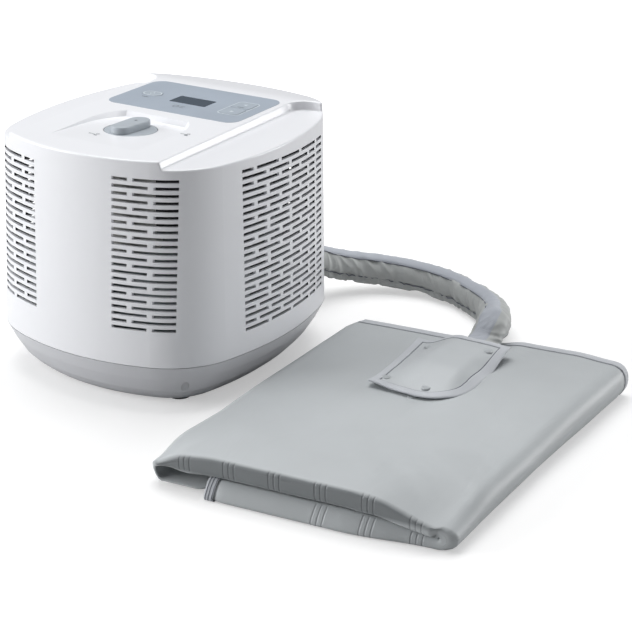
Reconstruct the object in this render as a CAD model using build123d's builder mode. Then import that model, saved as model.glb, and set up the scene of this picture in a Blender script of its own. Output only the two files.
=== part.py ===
from build123d import *
import os
from math import atan2, cos, degrees, hypot, pi, radians, sin, tan

# Water cooling mattress pad: a chiller, its hose in a gathered sleeve, and the folded mat.
# Millimetres. Everything is drawn about the floor under the chiller's middle, +Z up, front towards -Y,
# and the finished pieces are moved together to the middle of the whole set's outline at the end.

os.makedirs("parts", exist_ok=True)

# Chiller outline, taken at the seam between the white housing and the grey base
UNIT_W = 253.0
UNIT_D = 282.0
FRONT_BOW_R = 200.0
SIDE_BOW_R = 305.0
CORNER_R = 72.0
SEAM_Z = 42.0
SEAM_GAP = 0.6
WALL = 2.6
WALL_DRAFT = 2.1

# Deck of the chiller
DECK_T = 3.0
DECK_Z = 222.3
DECK_RISE = 2.52
DECK_FALL = 6.0
DECK_PEAK_Y = 94.0
DECK_PEAK_R = 120.0
SHOULDER_X = 78.0
SHOULDER_Z = 214.9
SHOULDER_RISE = 2.1
SHOULDER_TILT = 2.7
SHOULDER_END_Y = 101.0
SHOULDER_END_R = 24.0
SHOULDER_WALL_TAPER = 14.0
RIM_ROUND = 1.6

# Clearances
CLEAR = 0.3
LOOSE = 0.2
RUNNING = 0.05

# Grilles
SLOT_H = 2.8
SLOT_GAP = 4.3
SLOT_PITCH = 6.0
SLOT_TOP_Z = 200.9
FRONT_GRILLE_X = 40.1
FRONT_GRILLE_W = 50.8
FRONT_SLOT_SHORT = 13.0
FRONT_SLOT_LONG = 29.5
FRONT_ROWS = 22
SIDE_GRILLE_Y = -56.0
SIDE_GRILLE_D = 134.5
SIDE_SLOT = 30.0
SIDE_ROWS = 24
SIDE_ROW_ORDER = "SLSLL"
REAR_SLOT_W = 46.0
REAR_SLOT_H = 4.0
REAR_SLOT_GAP = 8.0
REAR_SLOT_PITCH = 9.0
REAR_TOP_Z = 194.0
REAR_ROWS = 11
SLOT_CUT = 78.0

# Base
FOOT_H = 2.5
FOOT_R = 10.0
FOOT_INSET_X = 56.0
FOOT_INSET_Y = 58.0
LIP_H = 4.5
LIP_T = 1.9
LIP_ROOT = 4.0
BASE_PROFILE = [(0, 27), (4.5, 21.5), (11.5, 15), (25.5, 6.5), (38.9, 0)]
SCREW_BOSS_WALL = 2.0
SCREW_TIP_GAP = 1.0
SCREW_DRIVE_W = 0.8
SCREW_POST_INSET_X = 36.5
SCREW_POST_INSET_Y = 39.0
SCREW_POST_RIB = 9.8
SCREW_SEAT_Z = 30.0
SCREW_POST_R = 4.5
SCREW_POST_TOP = 70.0
SCREW_R = 1.5
SCREW_HEAD_R = 3.2
SCREW_HEAD_T = 2.0

# Control panel
PANEL_W = 140.0
PANEL_D = 83.0
PANEL_R = 12.0
PANEL_T = 1.6
PANEL_Y = 40.0
PANEL_SUNK = 1.4
WINDOW_W = 39.0
WINDOW_D = 20.0
WINDOW_Y = -2.0
WINDOW_R = 1.5
KEY_TRAVEL = 0.6
KEY_PROUD = 0.3
KEY_FLANGE = 1.2
KEY_FLANGE_T = 1.0
KEY_STEM_R = 2.0
KEY_ROUND = 0.3
POWER_KEY_X = -46.0
POWER_KEY_W = 20.0
POWER_KEY_D = 13.0
TEMP_KEY_X = 48.0
TEMP_KEY_W = 19.0
TEMP_KEY_D = 18.4
TEMP_KEY_R = 4.0
TEMP_KEY_GAP = 1.2
BOARD_DROP = 11.0
BOARD_T = 1.6
BOARD_W = 122.0
BOARD_D = 62.0
BOARD_POST_R = 3.2
BOARD_POST_INSET = 5.0
BOARD_SCREW_R = 1.2
BOARD_HEAD_R = 2.2
BOARD_HEAD_T = 1.5
BOARD_SCREW_BITE = 4.0
SWITCH_W = 6.0
SWITCH_H = 3.4
SWITCH_STEM_R = 1.6
SWITCH_STEM_H = 1.0
MODULE_W = 41.0
MODULE_D = 22.0

# Filler cap and neck
CAP_Y = -53.0
CAP_DISC_R = 22.5
CAP_DISC_T = 3.0
CAP_TOP_Z = 217.6
CAP_RING = 0.6
CAP_EDGE_ROUND = 0.8
BAR_L = 43.0
BAR_REAR_R = 9.5
BAR_NOSE_R = 8.5
BAR_H = 6.2
BAR_ROUND = 1.2
PLUG_R = 16.6
PLUG_L = 17.0
PLUG_INNER_R = 13.4
NECK_BORE_R = 18.0
NECK_WALL = 2.4
NECK_HEAD_T = 4.0
NECK_FOOT_R = 26.0
NECK_FOOT_T = 3.0
COLLAR_T = 2.0
COLLAR_BOTTOM_Z = 207.0
LUG_R = 17.7
LUG_H = 2.6
LUG_GAP = 0.4
LUG_ARC = 40.0
NOTCH_ARC = 46.0
MOUTH_RING_R = 17.0
MOUTH_RING_T = 5.6
SEAL_W = 2.7
SEAL_H = 2.6
SEAL_DROP = 14.6
DISH_W = 96.0
DISH_R = 12.0
DISH_REAR_Y = -15.0
DISH_FRONT_Y = -104.0
DISH_DEPTH = 4.5
DISH_WALL_TAPER = 40.0

# Tank and level float
CHASSIS_T = 2.5
CHASSIS_INSET = 3.2
TANK_W = 192.0
TANK_FRONT_Y = -116.0
TANK_REAR_Y = -8.0
TANK_TOP_Z = 111.0
TANK_WALL = 2.4
TANK_FRONT_R = 60.0
TANK_REAR_R = 6.0
TANK_FLANGE = 5.0
TANK_FLANGE_T = 2.5
GASKET_T = 1.0
LID_T = 3.0
LID_SCREW_BITE = 6.0
LID_REAR_SCREWS_X = [-70.0, -30.0, 30.0, 70.0]
LID_SIDE_SCREWS_Y = -40.0
LID_FRONT_SCREWS_X = 25.0
FLOAT_X = -52.0
FLOAT_Y = -62.0
FLOAT_R = 11.0
FLOAT_H = 14.0
FLOAT_TRAVEL = 24.0
STEM_R = 3.0
STEM_STOP_R = 4.6
STEM_STOP_T = 2.0
HOSE_R = 5.0
HOSE_BORE_R = 3.9
NIPPLE_R = 3.85
NIPPLE_BORE_R = 2.6
NIPPLE_L = 12.0

# Pump
PUMP_X = 84.0
PUMP_FRONT_Y = 29.5
PUMP_Z = 76.0
VOLUTE_R = 26.0
VOLUTE_T = 15.0
VOLUTE_WALL = 2.5
PUMP_COVER_T = 3.0
MOTOR_R = 19.5
MOTOR_L = 32.0
MOTOR_CAP_T = 3.0
OUTLET_BOSS_H = 2.0
IMPELLER_R = 19.0
IMPELLER_VANES = 6
VANE_T = 1.4
IMPELLER_BACK_T = 1.6
IMPELLER_HUB_R = 5.0
PUMP_PIN_R = 1.5
PUMP_FOOT_W = 30.0

# Cooler: cold block, thermoelectric modules, heat sink and fan
STAND_TOP_Z = 85.0
STAND_T = 3.0
STAND_W = 124.0
STAND_ARCH_R = 14.0
COLD_Y = 30.0
COLD_T = 14.0
COLD_W = 90.0
COLD_H = 72.0
COLD_NIPPLE_L = 17.0
DELIVERY_X = 82.0
FOAM_T = 6.0
PELTIER = 40.0
PELTIER_T = 4.0
PELTIER_X = 22.0
SINK_W = 116.0
SINK_BASE_T = 5.0
SINK_FIN_L = 30.0
FIN_COUNT = 17
FIN_T = 1.2
SINK_POST = 8.0
FAN_SIZE = 120.0
FAN_T = 25.0
FAN_R = 10.0
FAN_BORE_R = 57.5
FAN_HOLE_PITCH = 105.0
FAN_HOLE_R = 2.2
FAN_SCREW_R = 2.0
FAN_HEAD_R = 3.6
FAN_SCREW_BITE = 12.0
FAN_HUB_R = 21.0
FAN_ARM_T = 3.0
FAN_ARM_W = 6.0
FAN_BLADES = 7
FAN_BLADE_CHORD = 25.0
FAN_BLADE_T = 1.6
FAN_BLADE_PITCH = 38.0
FAN_TIP_GAP = 1.5
FAN_SHAFT_R = 2.0

# Power supply in the base
SUPPLY_W = 110.0
SUPPLY_D = 70.0
SUPPLY_Y = 30.0
SUPPLY_POST_H = 5.0
TRANSFORMER_W = 34.0
TRANSFORMER_D = 28.0
TRANSFORMER_H = 22.0
CAPACITOR_R = 6.0
CAPACITOR_H = 20.0

# Rear fittings and hose
PORT_X = 40.0
PORT_Z = 56.0
PORT_W = 30.0
PORT_H = 14.6
PORT_FACE_Y = 146.0
PORT_TILT = 20.0
PORT_TURN = 8.0
PORT_L = 20.0
PORT_INNER_X = 37.6
PORT_INNER_Y = 122.0
PORT_INNER_Z = 62.0
PORT_INNER_T = 7.0
HOSE_SPACING = 11.6
BEND_SHARE = 0.45
PORT_RUN = 29.0
SLEEVE_R = 14.5
SLEEVE_T = 1.2
INLET_X = -58.0
INLET_Z = 66.0
INLET_W = 27.0
INLET_H = 19.0
INLET_FACE_Y = 136.5
INLET_INNER_Y = 114.0
WIRING_HOLE_W = 24.0
WIRING_HOLE_D = 8.0
SOCKET_W = 22.0
SOCKET_H = 14.5
SOCKET_DEPTH = 15.0
PIN_SPOTS = [(-7, -2), (7, -2), (0, 2)]
PIN_W = 2.0
PIN_H = 4.0
PIN_L = 12.0

# Folded mat: a four-layer strip folded like a letter, its fold edges towards the front
MAT_THICK = 8.3
MAT_GAP = 0.8
MAT_SLANT = 7.5
MAT_MID_X = 265.0
MAT_FRONT_Y = -208.0
MAT_REAR_Y = 119.0
MAT_END_X = 193.0
MAT_STATIONS = [
    (MAT_FRONT_Y, 151, 384, 0.35),
    (-206.4, 147, 386, 0.72),
    (-204, 146, 387, 0.95),
    (-200, 145, 387, 1),
    (-60, 142, 390, 1),
    (100, 137, 397, 1),
    (117.5, 140, 397, 1),
    (MAT_REAR_Y, 143, 396, 0.7),
]
TAPE_DROP = 8.0
TAPE_SPAN = (152, 376)
TAPE_T = 0.7
TAPE_GAP = 0.1
TAPE_W = 12.0

# Cover flap on the mat, its snap fasteners and the couplings below it
FLAP_X = 265.0
FLAP_W = 80.0
FLAP_L = 116.0
FLAP_HINGE_Y = 82.0
FLAP_T = 1.6
FLAP_LIFT = 0.4
FLAP_STATIONS = [(FLAP_HINGE_Y, 13.5), (60, 13.5), (16, 13), (-18, FLAP_LIFT), (FLAP_HINGE_Y - FLAP_L, FLAP_LIFT)]
FLAP_ARCH = [(-40, 0), (-27.5, 0), (-12, 1), (20, 1), (27.5, 0), (40, 0)]
FLAP_TAPE_T = 0.5
FLAP_CORNER_R = 16.0
FLAP_HEM = 4.0
SNAP_R = 4.0
SNAP_T = 1.0
SIDE_SNAPS = [(233.3, 56), (233.3, 6), (296.7, 60), (296.7, 20)]
FRONT_SNAP = (265, -25)
NECK_X = 272.0
NECK_W = 31.0
NECK_H = 14.5
NECK_END_Y = 88.0
NECK_SIDES = 24
COUPLING_R = 5.5
COUPLING_L = 44.0
COUPLING_Y = 78.0
COUPLING_TAIL = 5.0
PORT_PLATE_W = 34.0
PORT_PLATE_D = 16.0
PORT_PLATE_T = 2.0
PORT_BLOCK_W = 24.0
PORT_BLOCK_D = 10.0
PORT_BLOCK_H = 13.0

# Route of the hose from the rear fitting, over the floor and up on to the mat
HOSE_ROUTE = [
    (52, 197, 35.5),
    (67, 219, 28.5),
    (88, 238, 24),
    (113, 251, 20.5),
    (141, 256, 18.5),
    (170, 252, 17),
    (197, 241, 16),
    (221, 224, 16.5),
    (238, 202, 19.5),
    (250, 176, 26.5),
    (260, 150, 34),
    (270, 126, 42.5),
]

mat_pitch = MAT_THICK + MAT_GAP
mat_top = 2 * mat_pitch + MAT_THICK
blank_top = DECK_Z + 14.0
chassis_z = SEAM_Z + LIP_H
chassis_top = chassis_z + CHASSIS_T


def wall_inset(z):
    """How far the drafted housing wall stands inside the seam outline at height z."""
    return (z - SEAM_Z) * tan(radians(WALL_DRAFT))


def deck_height(y, drop=0.0):
    """Height of the raised deck in front of its peak."""
    return DECK_Z + y * tan(radians(DECK_RISE)) - drop


def unit_plan(inset):
    """The chiller's plan, four bowed sides with rounded corners, drawn in by inset."""
    front_shift = FRONT_BOW_R - UNIT_D / 2
    side_shift = SIDE_BOW_R - UNIT_W / 2
    with BuildSketch() as plan:
        with Locations((0, front_shift)):
            Circle(FRONT_BOW_R - inset)
        with Locations((0, -front_shift)):
            Circle(FRONT_BOW_R - inset, mode=Mode.INTERSECT)
        with Locations((side_shift, 0)):
            Circle(SIDE_BOW_R - inset, mode=Mode.INTERSECT)
        with Locations((-side_shift, 0)):
            Circle(SIDE_BOW_R - inset, mode=Mode.INTERSECT)
        fillet(plan.vertices(), CORNER_R - inset)
    return plan.sketch


def shoulder_cut(drop):
    """What the right shoulder lies below the raised deck, moved in and down by drop for the inside."""
    depth = blank_top - SHOULDER_Z
    with BuildPart() as cut:
        with BuildSketch(Plane.XY.offset(blank_top)) as plan:
            inner = SHOULDER_X - drop - depth * tan(radians(SHOULDER_WALL_TAPER))
            with Locations((inner, SHOULDER_END_Y + drop - UNIT_D)):
                Rectangle(UNIT_W, UNIT_D, align=(Align.MIN, Align.MIN))
            fillet(plan.vertices().group_by(Axis.X)[0].sort_by(Axis.Y)[-1], SHOULDER_END_R)
        extrude(amount=-depth - UNIT_W / 8, taper=SHOULDER_WALL_TAPER)
        across = tan(radians(SHOULDER_TILT))
        back = tan(radians(SHOULDER_RISE))
        floor = Plane(origin=(SHOULDER_X, 0, SHOULDER_Z - drop), x_dir=(1, 0, -across), z_dir=(across, -back, 1))
        split(bisect_by=floor, keep=Keep.TOP)
    return cut.part


def housing_form(inset, drop):
    """The white housing as a solid, drawn in by inset at the walls and lowered by drop on top."""
    shoulder = shoulder_cut(drop)
    with BuildPart() as form:
        with BuildSketch(Plane.XY.offset(SEAM_Z)):
            add(unit_plan(inset))
        with BuildSketch(Plane.XY.offset(blank_top)):
            add(unit_plan(inset + wall_inset(blank_top)))
        loft(ruled=True)
        peak = (DECK_PEAK_Y, deck_height(DECK_PEAK_Y, drop))
        back = (UNIT_D, peak[1] - (UNIT_D - DECK_PEAK_Y) * tan(radians(DECK_FALL)))
        with BuildSketch(Plane.YZ) as profile:
            with BuildLine():
                Polyline((-UNIT_D, 0), (-UNIT_D, deck_height(-UNIT_D, drop)), peak, back, (UNIT_D, 0), close=True)
            make_face()
            fillet(profile.vertices().sort_by_distance((*peak, 0))[0], DECK_PEAK_R)
        extrude(amount=UNIT_W, both=True, mode=Mode.INTERSECT)
        add(shoulder, mode=Mode.SUBTRACT)
        add(shoulder.mirror(Plane.YZ), mode=Mode.SUBTRACT)
    return form.part


def row(lengths, start, z):
    """Slots of the given lengths in one row from start, a gap apart."""
    places = []
    for length in lengths:
        places.append((start + length / 2, length, z))
        start += length + SLOT_GAP
    return places


def front_slots():
    """Slots of the right front grille: short then long, and long then short, row by row."""
    rest = FRONT_GRILLE_W - SLOT_GAP
    slots = []
    for i in range(FRONT_ROWS):
        first = FRONT_SLOT_SHORT if i % 2 == 0 else FRONT_SLOT_LONG
        slots += row([first, rest - first], FRONT_GRILLE_X, SLOT_TOP_Z - i * SLOT_PITCH)
    return slots


def side_slots():
    """Slots of a side grille: three long ones with a short one at each end, or all from the front edge."""
    short_end = (SIDE_GRILLE_D - 4 * SLOT_GAP - 3 * SIDE_SLOT) / 2
    slots = []
    for i in range(SIDE_ROWS):
        if SIDE_ROW_ORDER[i % len(SIDE_ROW_ORDER)] == "S":
            lengths = [short_end, SIDE_SLOT, SIDE_SLOT, SIDE_SLOT, short_end]
        else:
            lengths = [SIDE_SLOT, SIDE_SLOT, SIDE_SLOT, short_end - 1, short_end + 1]
        slots += row(lengths, SIDE_GRILLE_Y, SLOT_TOP_Z - i * SLOT_PITCH)
    return slots


deck_plane = Plane(
    origin=(0, PANEL_Y, deck_height(PANEL_Y)),
    x_dir=(1, 0, 0),
    z_dir=(0, -sin(radians(DECK_RISE)), cos(radians(DECK_RISE))),
)
temp_key_step = (TEMP_KEY_D + TEMP_KEY_GAP) / 2
key_spots = {
    "power_key": (POWER_KEY_X, 0),
    "temp_up_key": (TEMP_KEY_X, temp_key_step),
    "temp_down_key": (TEMP_KEY_X, -temp_key_step),
}
board_posts = [
    (x * (BOARD_W / 2 - BOARD_POST_INSET), y * (BOARD_D / 2 - BOARD_POST_INSET)) for x in (-1, 1) for y in (-1, 1)
]
screw_posts = [
    (x * (UNIT_W / 2 - SCREW_POST_INSET_X), y * (UNIT_D / 2 - SCREW_POST_INSET_Y)) for x in (-1, 1) for y in (-1, 1)
]
supply_posts = [
    (x * (SUPPLY_W / 2 - BOARD_POST_INSET), SUPPLY_Y + y * (SUPPLY_D / 2 - BOARD_POST_INSET))
    for x in (-1, 1)
    for y in (-1, 1)
]
feet = [(x * (UNIT_W / 2 - FOOT_INSET_X), y * (UNIT_D / 2 - FOOT_INSET_Y)) for x in (-1, 1) for y in (-1, 1)]


def key_outline(name, grow):
    """Outline of a key, grown by grow: an oval for power, rounded squares for the temperature."""
    with BuildSketch() as outline:
        with Locations(key_spots[name]):
            if name == "power_key":
                RectangleRounded(POWER_KEY_W + 2 * grow, POWER_KEY_D + 2 * grow, POWER_KEY_D / 2 + grow - 0.01)
            else:
                RectangleRounded(TEMP_KEY_W + 2 * grow, TEMP_KEY_D + 2 * grow, TEMP_KEY_R + grow)
    return outline.sketch


def key_well(name):
    """Opening of a key in the housing's deck, shared by the two temperature keys."""
    return key_outline(name, KEY_FLANGE + CLEAR)


port_axis = Vector(
    sin(radians(PORT_TURN)) * cos(radians(PORT_TILT)),
    cos(radians(PORT_TURN)) * cos(radians(PORT_TILT)),
    -sin(radians(PORT_TILT)),
)
port_plane = Plane(
    origin=(PORT_X, PORT_FACE_Y, PORT_Z),
    x_dir=(cos(radians(PORT_TURN)), -sin(radians(PORT_TURN)), 0),
    z_dir=port_axis,
)


def dish_cut(grow):
    """The shallow dish round the cap, deepest at the back, grown and lowered by grow for the inside."""
    rear_floor = deck_height(DISH_REAR_Y, grow) - DISH_DEPTH
    slope = (deck_height(DISH_FRONT_Y, grow) - rear_floor) / (DISH_FRONT_Y - DISH_REAR_Y)
    widen = (blank_top - deck_height(DISH_REAR_Y)) * tan(radians(DISH_WALL_TAPER))
    with BuildPart() as cut:
        with BuildSketch(Plane.XY.offset(blank_top)) as plan:
            with Locations((0, DISH_REAR_Y + widen + grow)):
                Rectangle(DISH_W + 2 * (widen + grow), UNIT_D, align=(Align.CENTER, Align.MAX))
            fillet(plan.vertices().group_by(Axis.Y)[-1], DISH_R + widen + grow)
        extrude(amount=-blank_top / 6, taper=DISH_WALL_TAPER)
        split(bisect_by=Plane(origin=(0, DISH_REAR_Y, rear_floor), x_dir=(1, 0, 0), z_dir=(0, -slope, 1)))
    return cut.part


# White upper housing: drafted bowed walls, stepped deck, dish, grilles, posts
cap_plane = Plane(origin=(0, CAP_Y, 0))
cap_seat_z = CAP_TOP_Z - CAP_DISC_T
mouth_z = cap_seat_z - CLEAR
mouth_r = CAP_DISC_R + CAP_RING
lug_z = mouth_z - MOUTH_RING_T - LUG_GAP - LUG_H

with BuildPart() as upper_housing:
    add(housing_form(0, 0))
    rim = upper_housing.edges().filter_by(lambda e: e.bounding_box().max.Z > SHOULDER_Z - 8)
    fillet(rim, RIM_ROUND)
    add(housing_form(WALL, DECK_T) - dish_cut(DECK_T), mode=Mode.SUBTRACT)
    add(dish_cut(0), mode=Mode.SUBTRACT)
    # collar and hole for the filler cap
    with BuildSketch(cap_plane.offset(COLLAR_BOTTOM_Z)):
        Circle(mouth_r + COLLAR_T)
    extrude(amount=deck_height(CAP_Y) - DECK_T - COLLAR_BOTTOM_Z)
    with BuildSketch(cap_plane.offset(COLLAR_BOTTOM_Z)):
        Circle(mouth_r)
    extrude(amount=blank_top - COLLAR_BOTTOM_Z, mode=Mode.SUBTRACT)
    # recess for the panel, and the openings below its window and keys
    with BuildSketch(deck_plane.offset(-PANEL_SUNK)):
        RectangleRounded(PANEL_W, PANEL_D, PANEL_R)
    extrude(amount=PANEL_T, mode=Mode.SUBTRACT)
    with BuildSketch(deck_plane.offset(-DECK_T - CLEAR)):
        with Locations((0, WINDOW_Y)):
            Rectangle(MODULE_W + 2 * CLEAR, MODULE_D + 2 * CLEAR)
        for name in key_spots:
            add(key_well(name))
    extrude(amount=DECK_T, mode=Mode.SUBTRACT)
    # posts for the control board
    with BuildSketch(deck_plane.offset(-BOARD_DROP)):
        with Locations(*board_posts):
            Circle(BOARD_POST_R)
            Circle(BOARD_SCREW_R, mode=Mode.SUBTRACT)
    extrude(amount=BOARD_DROP - DECK_T + CLEAR)
    # posts for the long screws from below, each with a rib out to the corner of the wall
    with BuildSketch(Plane.XY.offset(chassis_top)):
        for post_x, post_y in screw_posts:
            with Locations((post_x, post_y)):
                Circle(SCREW_POST_R)
            corner_turn = degrees(atan2(post_y / abs(post_y), post_x / abs(post_x)))
            with Locations(Location((post_x, post_y, 0), (0, 0, corner_turn))):
                Rectangle(SCREW_POST_RIB, WALL, align=(Align.MIN, Align.CENTER))
        with Locations(*screw_posts):
            Circle(SCREW_R, mode=Mode.SUBTRACT)
    extrude(amount=SCREW_POST_TOP - chassis_top)
    # grilles: both halves of the front, the two sides, and the exhaust at the rear
    with BuildSketch(Plane.XZ.offset(UNIT_D / 2 - SLOT_CUT / 2)):
        for length in sorted({run for x, run, z in front_slots()}):
            with Locations(*[(side * x, z) for x, run, z in front_slots() for side in (1, -1) if run == length]):
                Rectangle(length, SLOT_H)
    extrude(amount=SLOT_CUT, mode=Mode.SUBTRACT)
    with BuildSketch(Plane.YZ):
        for length in sorted({run for y, run, z in side_slots()}):
            with Locations(*[(y, z) for y, run, z in side_slots() if run == length]):
                Rectangle(length, SLOT_H)
    extrude(amount=UNIT_W, both=True, mode=Mode.SUBTRACT)
    with BuildSketch(Plane.XZ.offset(SLOT_CUT / 4 - UNIT_D / 2)):
        with Locations((0, REAR_TOP_Z - (REAR_ROWS - 1) / 2 * REAR_SLOT_PITCH)):
            with GridLocations(REAR_SLOT_W + REAR_SLOT_GAP, REAR_SLOT_PITCH, 2, REAR_ROWS):
                Rectangle(REAR_SLOT_W, REAR_SLOT_H)
    extrude(amount=-SLOT_CUT / 2, mode=Mode.SUBTRACT)
    # openings for the hose port and the power inlet
    with BuildSketch(port_plane):
        RectangleRounded(PORT_W + 2 * LOOSE, PORT_H + 2 * LOOSE, PORT_H / 2)
    extrude(amount=-PORT_L - WALL, mode=Mode.SUBTRACT)
    with Locations((INLET_X, UNIT_D / 2, INLET_Z)):
        Box(INLET_W + 2 * LOOSE, SLOT_CUT / 2, INLET_H + 2 * LOOSE, mode=Mode.SUBTRACT)
upper_housing.part.label = "upper_housing"

# Grey base: a tapering tray with a rounded bottom edge, a lip inside the housing and screw posts
base_top = SEAM_Z - SEAM_GAP
base_floor = FOOT_H + WALL
lip_inset = WALL + CLEAR


def base_inset(height):
    """How far the base's outside stands inside the seam outline at a height above its bottom."""
    for (low, low_inset), (high, high_inset) in zip(BASE_PROFILE, BASE_PROFILE[1:]):
        if height <= high:
            return low_inset + (high_inset - low_inset) * (height - low) / (high - low)
    return BASE_PROFILE[-1][1]


with BuildPart() as base_form:
    for height, inset in BASE_PROFILE:
        with BuildSketch(Plane.XY.offset(FOOT_H + height)):
            add(unit_plan(inset))
    loft(ruled=True)

with BuildPart() as base_hollow:
    for height in [WALL] + [height for height, inset in BASE_PROFILE if height > WALL]:
        with BuildSketch(Plane.XY.offset(FOOT_H + height)):
            add(unit_plan(base_inset(height) + lip_inset))
    loft(ruled=True)

with BuildPart() as boss_limit:
    add(base_form.part)
    with BuildSketch(Plane.XY.offset(base_top)):
        add(unit_plan(lip_inset))
    extrude(amount=chassis_z - base_top)

with BuildPart() as screw_bosses:
    with BuildSketch(Plane.XY.offset(FOOT_H)):
        with Locations(*screw_posts):
            Circle(SCREW_POST_R + SCREW_BOSS_WALL)
    extrude(amount=chassis_z - FOOT_H)
    add(boss_limit.part, mode=Mode.INTERSECT)

with BuildPart() as base_housing:
    add(base_form.part)
    add(base_hollow.part, mode=Mode.SUBTRACT)
    with BuildSketch(Plane.XY.offset(base_top - LIP_ROOT)):
        add(unit_plan(lip_inset))
        add(unit_plan(lip_inset + LIP_T), mode=Mode.SUBTRACT)
    extrude(amount=chassis_z - base_top + LIP_ROOT)
    add(screw_bosses.part)
    with BuildSketch(Plane.XY.offset(base_floor)):
        with Locations(*supply_posts):
            Circle(BOARD_POST_R)
    extrude(amount=SUPPLY_POST_H)
    with BuildSketch(Plane.XY.offset(base_floor)):
        with Locations(*supply_posts):
            Circle(BOARD_SCREW_R)
    extrude(amount=SUPPLY_POST_H, mode=Mode.SUBTRACT)
    with BuildSketch(Plane.XY.offset(FOOT_H)):
        with Locations(*screw_posts):
            Circle(SCREW_HEAD_R + CLEAR)
    extrude(amount=SCREW_SEAT_Z - FOOT_H, mode=Mode.SUBTRACT)
    with BuildSketch(Plane.XY.offset(SCREW_SEAT_Z)):
        with Locations(*screw_posts):
            Circle(SCREW_R + LOOSE)
    extrude(amount=chassis_z - SCREW_SEAT_Z, mode=Mode.SUBTRACT)
base_housing.part.label = "base_housing"

with BuildPart() as rubber_feet:
    with BuildSketch():
        with Locations(*feet):
            Circle(FOOT_R)
    extrude(amount=FOOT_H)
rubber_feet.part.label = "rubber_feet"

with BuildPart() as housing_screws:
    with BuildSketch(Plane.XY.offset(SCREW_SEAT_Z - SCREW_HEAD_T)):
        with Locations(*screw_posts):
            Circle(SCREW_HEAD_R)
    extrude(amount=SCREW_HEAD_T)
    with BuildSketch(Plane.XY.offset(SCREW_SEAT_Z)):
        with Locations(*screw_posts):
            Circle(SCREW_R)
    extrude(amount=SCREW_POST_TOP - SCREW_SEAT_Z - SCREW_TIP_GAP)
    with Locations(*[(x, y, SCREW_SEAT_Z - SCREW_HEAD_T) for x, y in screw_posts]):
        Box(SCREW_HEAD_R, SCREW_DRIVE_W, SCREW_HEAD_T, mode=Mode.SUBTRACT)
        Box(SCREW_DRIVE_W, SCREW_HEAD_R, SCREW_HEAD_T, mode=Mode.SUBTRACT)
housing_screws.part.label = "housing_screws"

# Plate on the base's lip that carries the tank, the pump and the cooler
with BuildPart() as chassis_plate:
    with BuildSketch(Plane.XY.offset(chassis_z)):
        add(unit_plan(CHASSIS_INSET))
        with Locations(*screw_posts):
            Circle(SCREW_R + LOOSE, mode=Mode.SUBTRACT)
        with Locations((INLET_X, INLET_INNER_Y)):
            SlotOverall(WIRING_HOLE_W, WIRING_HOLE_D, mode=Mode.SUBTRACT)
    extrude(amount=CHASSIS_T)
chassis_plate.part.label = "chassis_plate"

# Control panel: overlay, window, keys, and the board with its display and switches
with BuildPart() as control_panel:
    with BuildSketch(deck_plane.offset(-PANEL_SUNK)):
        RectangleRounded(PANEL_W - LOOSE, PANEL_D - LOOSE, PANEL_R)
        for name in key_spots:
            add(key_outline(name, CLEAR), mode=Mode.SUBTRACT)
        with Locations((0, WINDOW_Y)):
            RectangleRounded(WINDOW_W, WINDOW_D, WINDOW_R, mode=Mode.SUBTRACT)
    extrude(amount=PANEL_T)
control_panel.part.label = "control_panel"

with BuildPart() as display_window:
    with BuildSketch(deck_plane.offset(-PANEL_SUNK)):
        with Locations((0, WINDOW_Y)):
            RectangleRounded(WINDOW_W, WINDOW_D, WINDOW_R)
    extrude(amount=PANEL_T)
display_window.part.label = "display_window"

with BuildPart() as display_module:
    with BuildSketch(deck_plane.offset(-BOARD_DROP)):
        with Locations((0, WINDOW_Y)):
            Rectangle(MODULE_W, MODULE_D)
    extrude(amount=BOARD_DROP - PANEL_SUNK)
display_module.part.label = "display_module"

with BuildPart() as control_board:
    with BuildSketch(deck_plane.offset(-BOARD_DROP - BOARD_T)):
        Rectangle(BOARD_W, BOARD_D)
        with Locations(*board_posts):
            Circle(BOARD_SCREW_R + LOOSE, mode=Mode.SUBTRACT)
    extrude(amount=BOARD_T)
control_board.part.label = "control_board"

with BuildPart() as key_switches:
    with BuildSketch(deck_plane.offset(-BOARD_DROP)):
        with Locations(*key_spots.values()):
            Rectangle(SWITCH_W, SWITCH_W)
    extrude(amount=SWITCH_H)
    with BuildSketch(deck_plane.offset(-BOARD_DROP + SWITCH_H)):
        with Locations(*key_spots.values()):
            Circle(SWITCH_STEM_R)
    extrude(amount=SWITCH_STEM_H)
key_switches.part.label = "key_switches"

supply_z = base_floor + SUPPLY_POST_H
supply_top = supply_z + BOARD_T
with BuildPart() as board_screws:
    with BuildSketch(deck_plane.offset(-BOARD_DROP - BOARD_T - BOARD_HEAD_T)):
        with Locations(*board_posts):
            Circle(BOARD_HEAD_R)
    extrude(amount=BOARD_HEAD_T)
    with BuildSketch(deck_plane.offset(-BOARD_DROP - BOARD_T)):
        with Locations(*board_posts):
            Circle(BOARD_SCREW_R)
    extrude(amount=BOARD_T + BOARD_SCREW_BITE)
    with BuildSketch(Plane.XY.offset(supply_top)):
        with Locations(*supply_posts):
            Circle(BOARD_HEAD_R)
    extrude(amount=BOARD_HEAD_T)
    with BuildSketch(Plane.XY.offset(supply_top)):
        with Locations(*supply_posts):
            Circle(BOARD_SCREW_R)
    extrude(amount=-BOARD_T - BOARD_SCREW_BITE)
board_screws.part.label = "board_screws"


def key_flange(name):
    """Flange under the panel, stopped short of the neighbouring temperature key's flange."""
    with BuildSketch() as outline:
        add(key_outline(name, KEY_FLANGE))
        if name != "power_key":
            side = key_spots[name][1] / abs(key_spots[name][1])
            with Locations((TEMP_KEY_X, side * (CLEAR / 2 + TEMP_KEY_D))):
                Rectangle(2 * TEMP_KEY_W, 2 * TEMP_KEY_D, mode=Mode.INTERSECT)
    return outline.sketch


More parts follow.
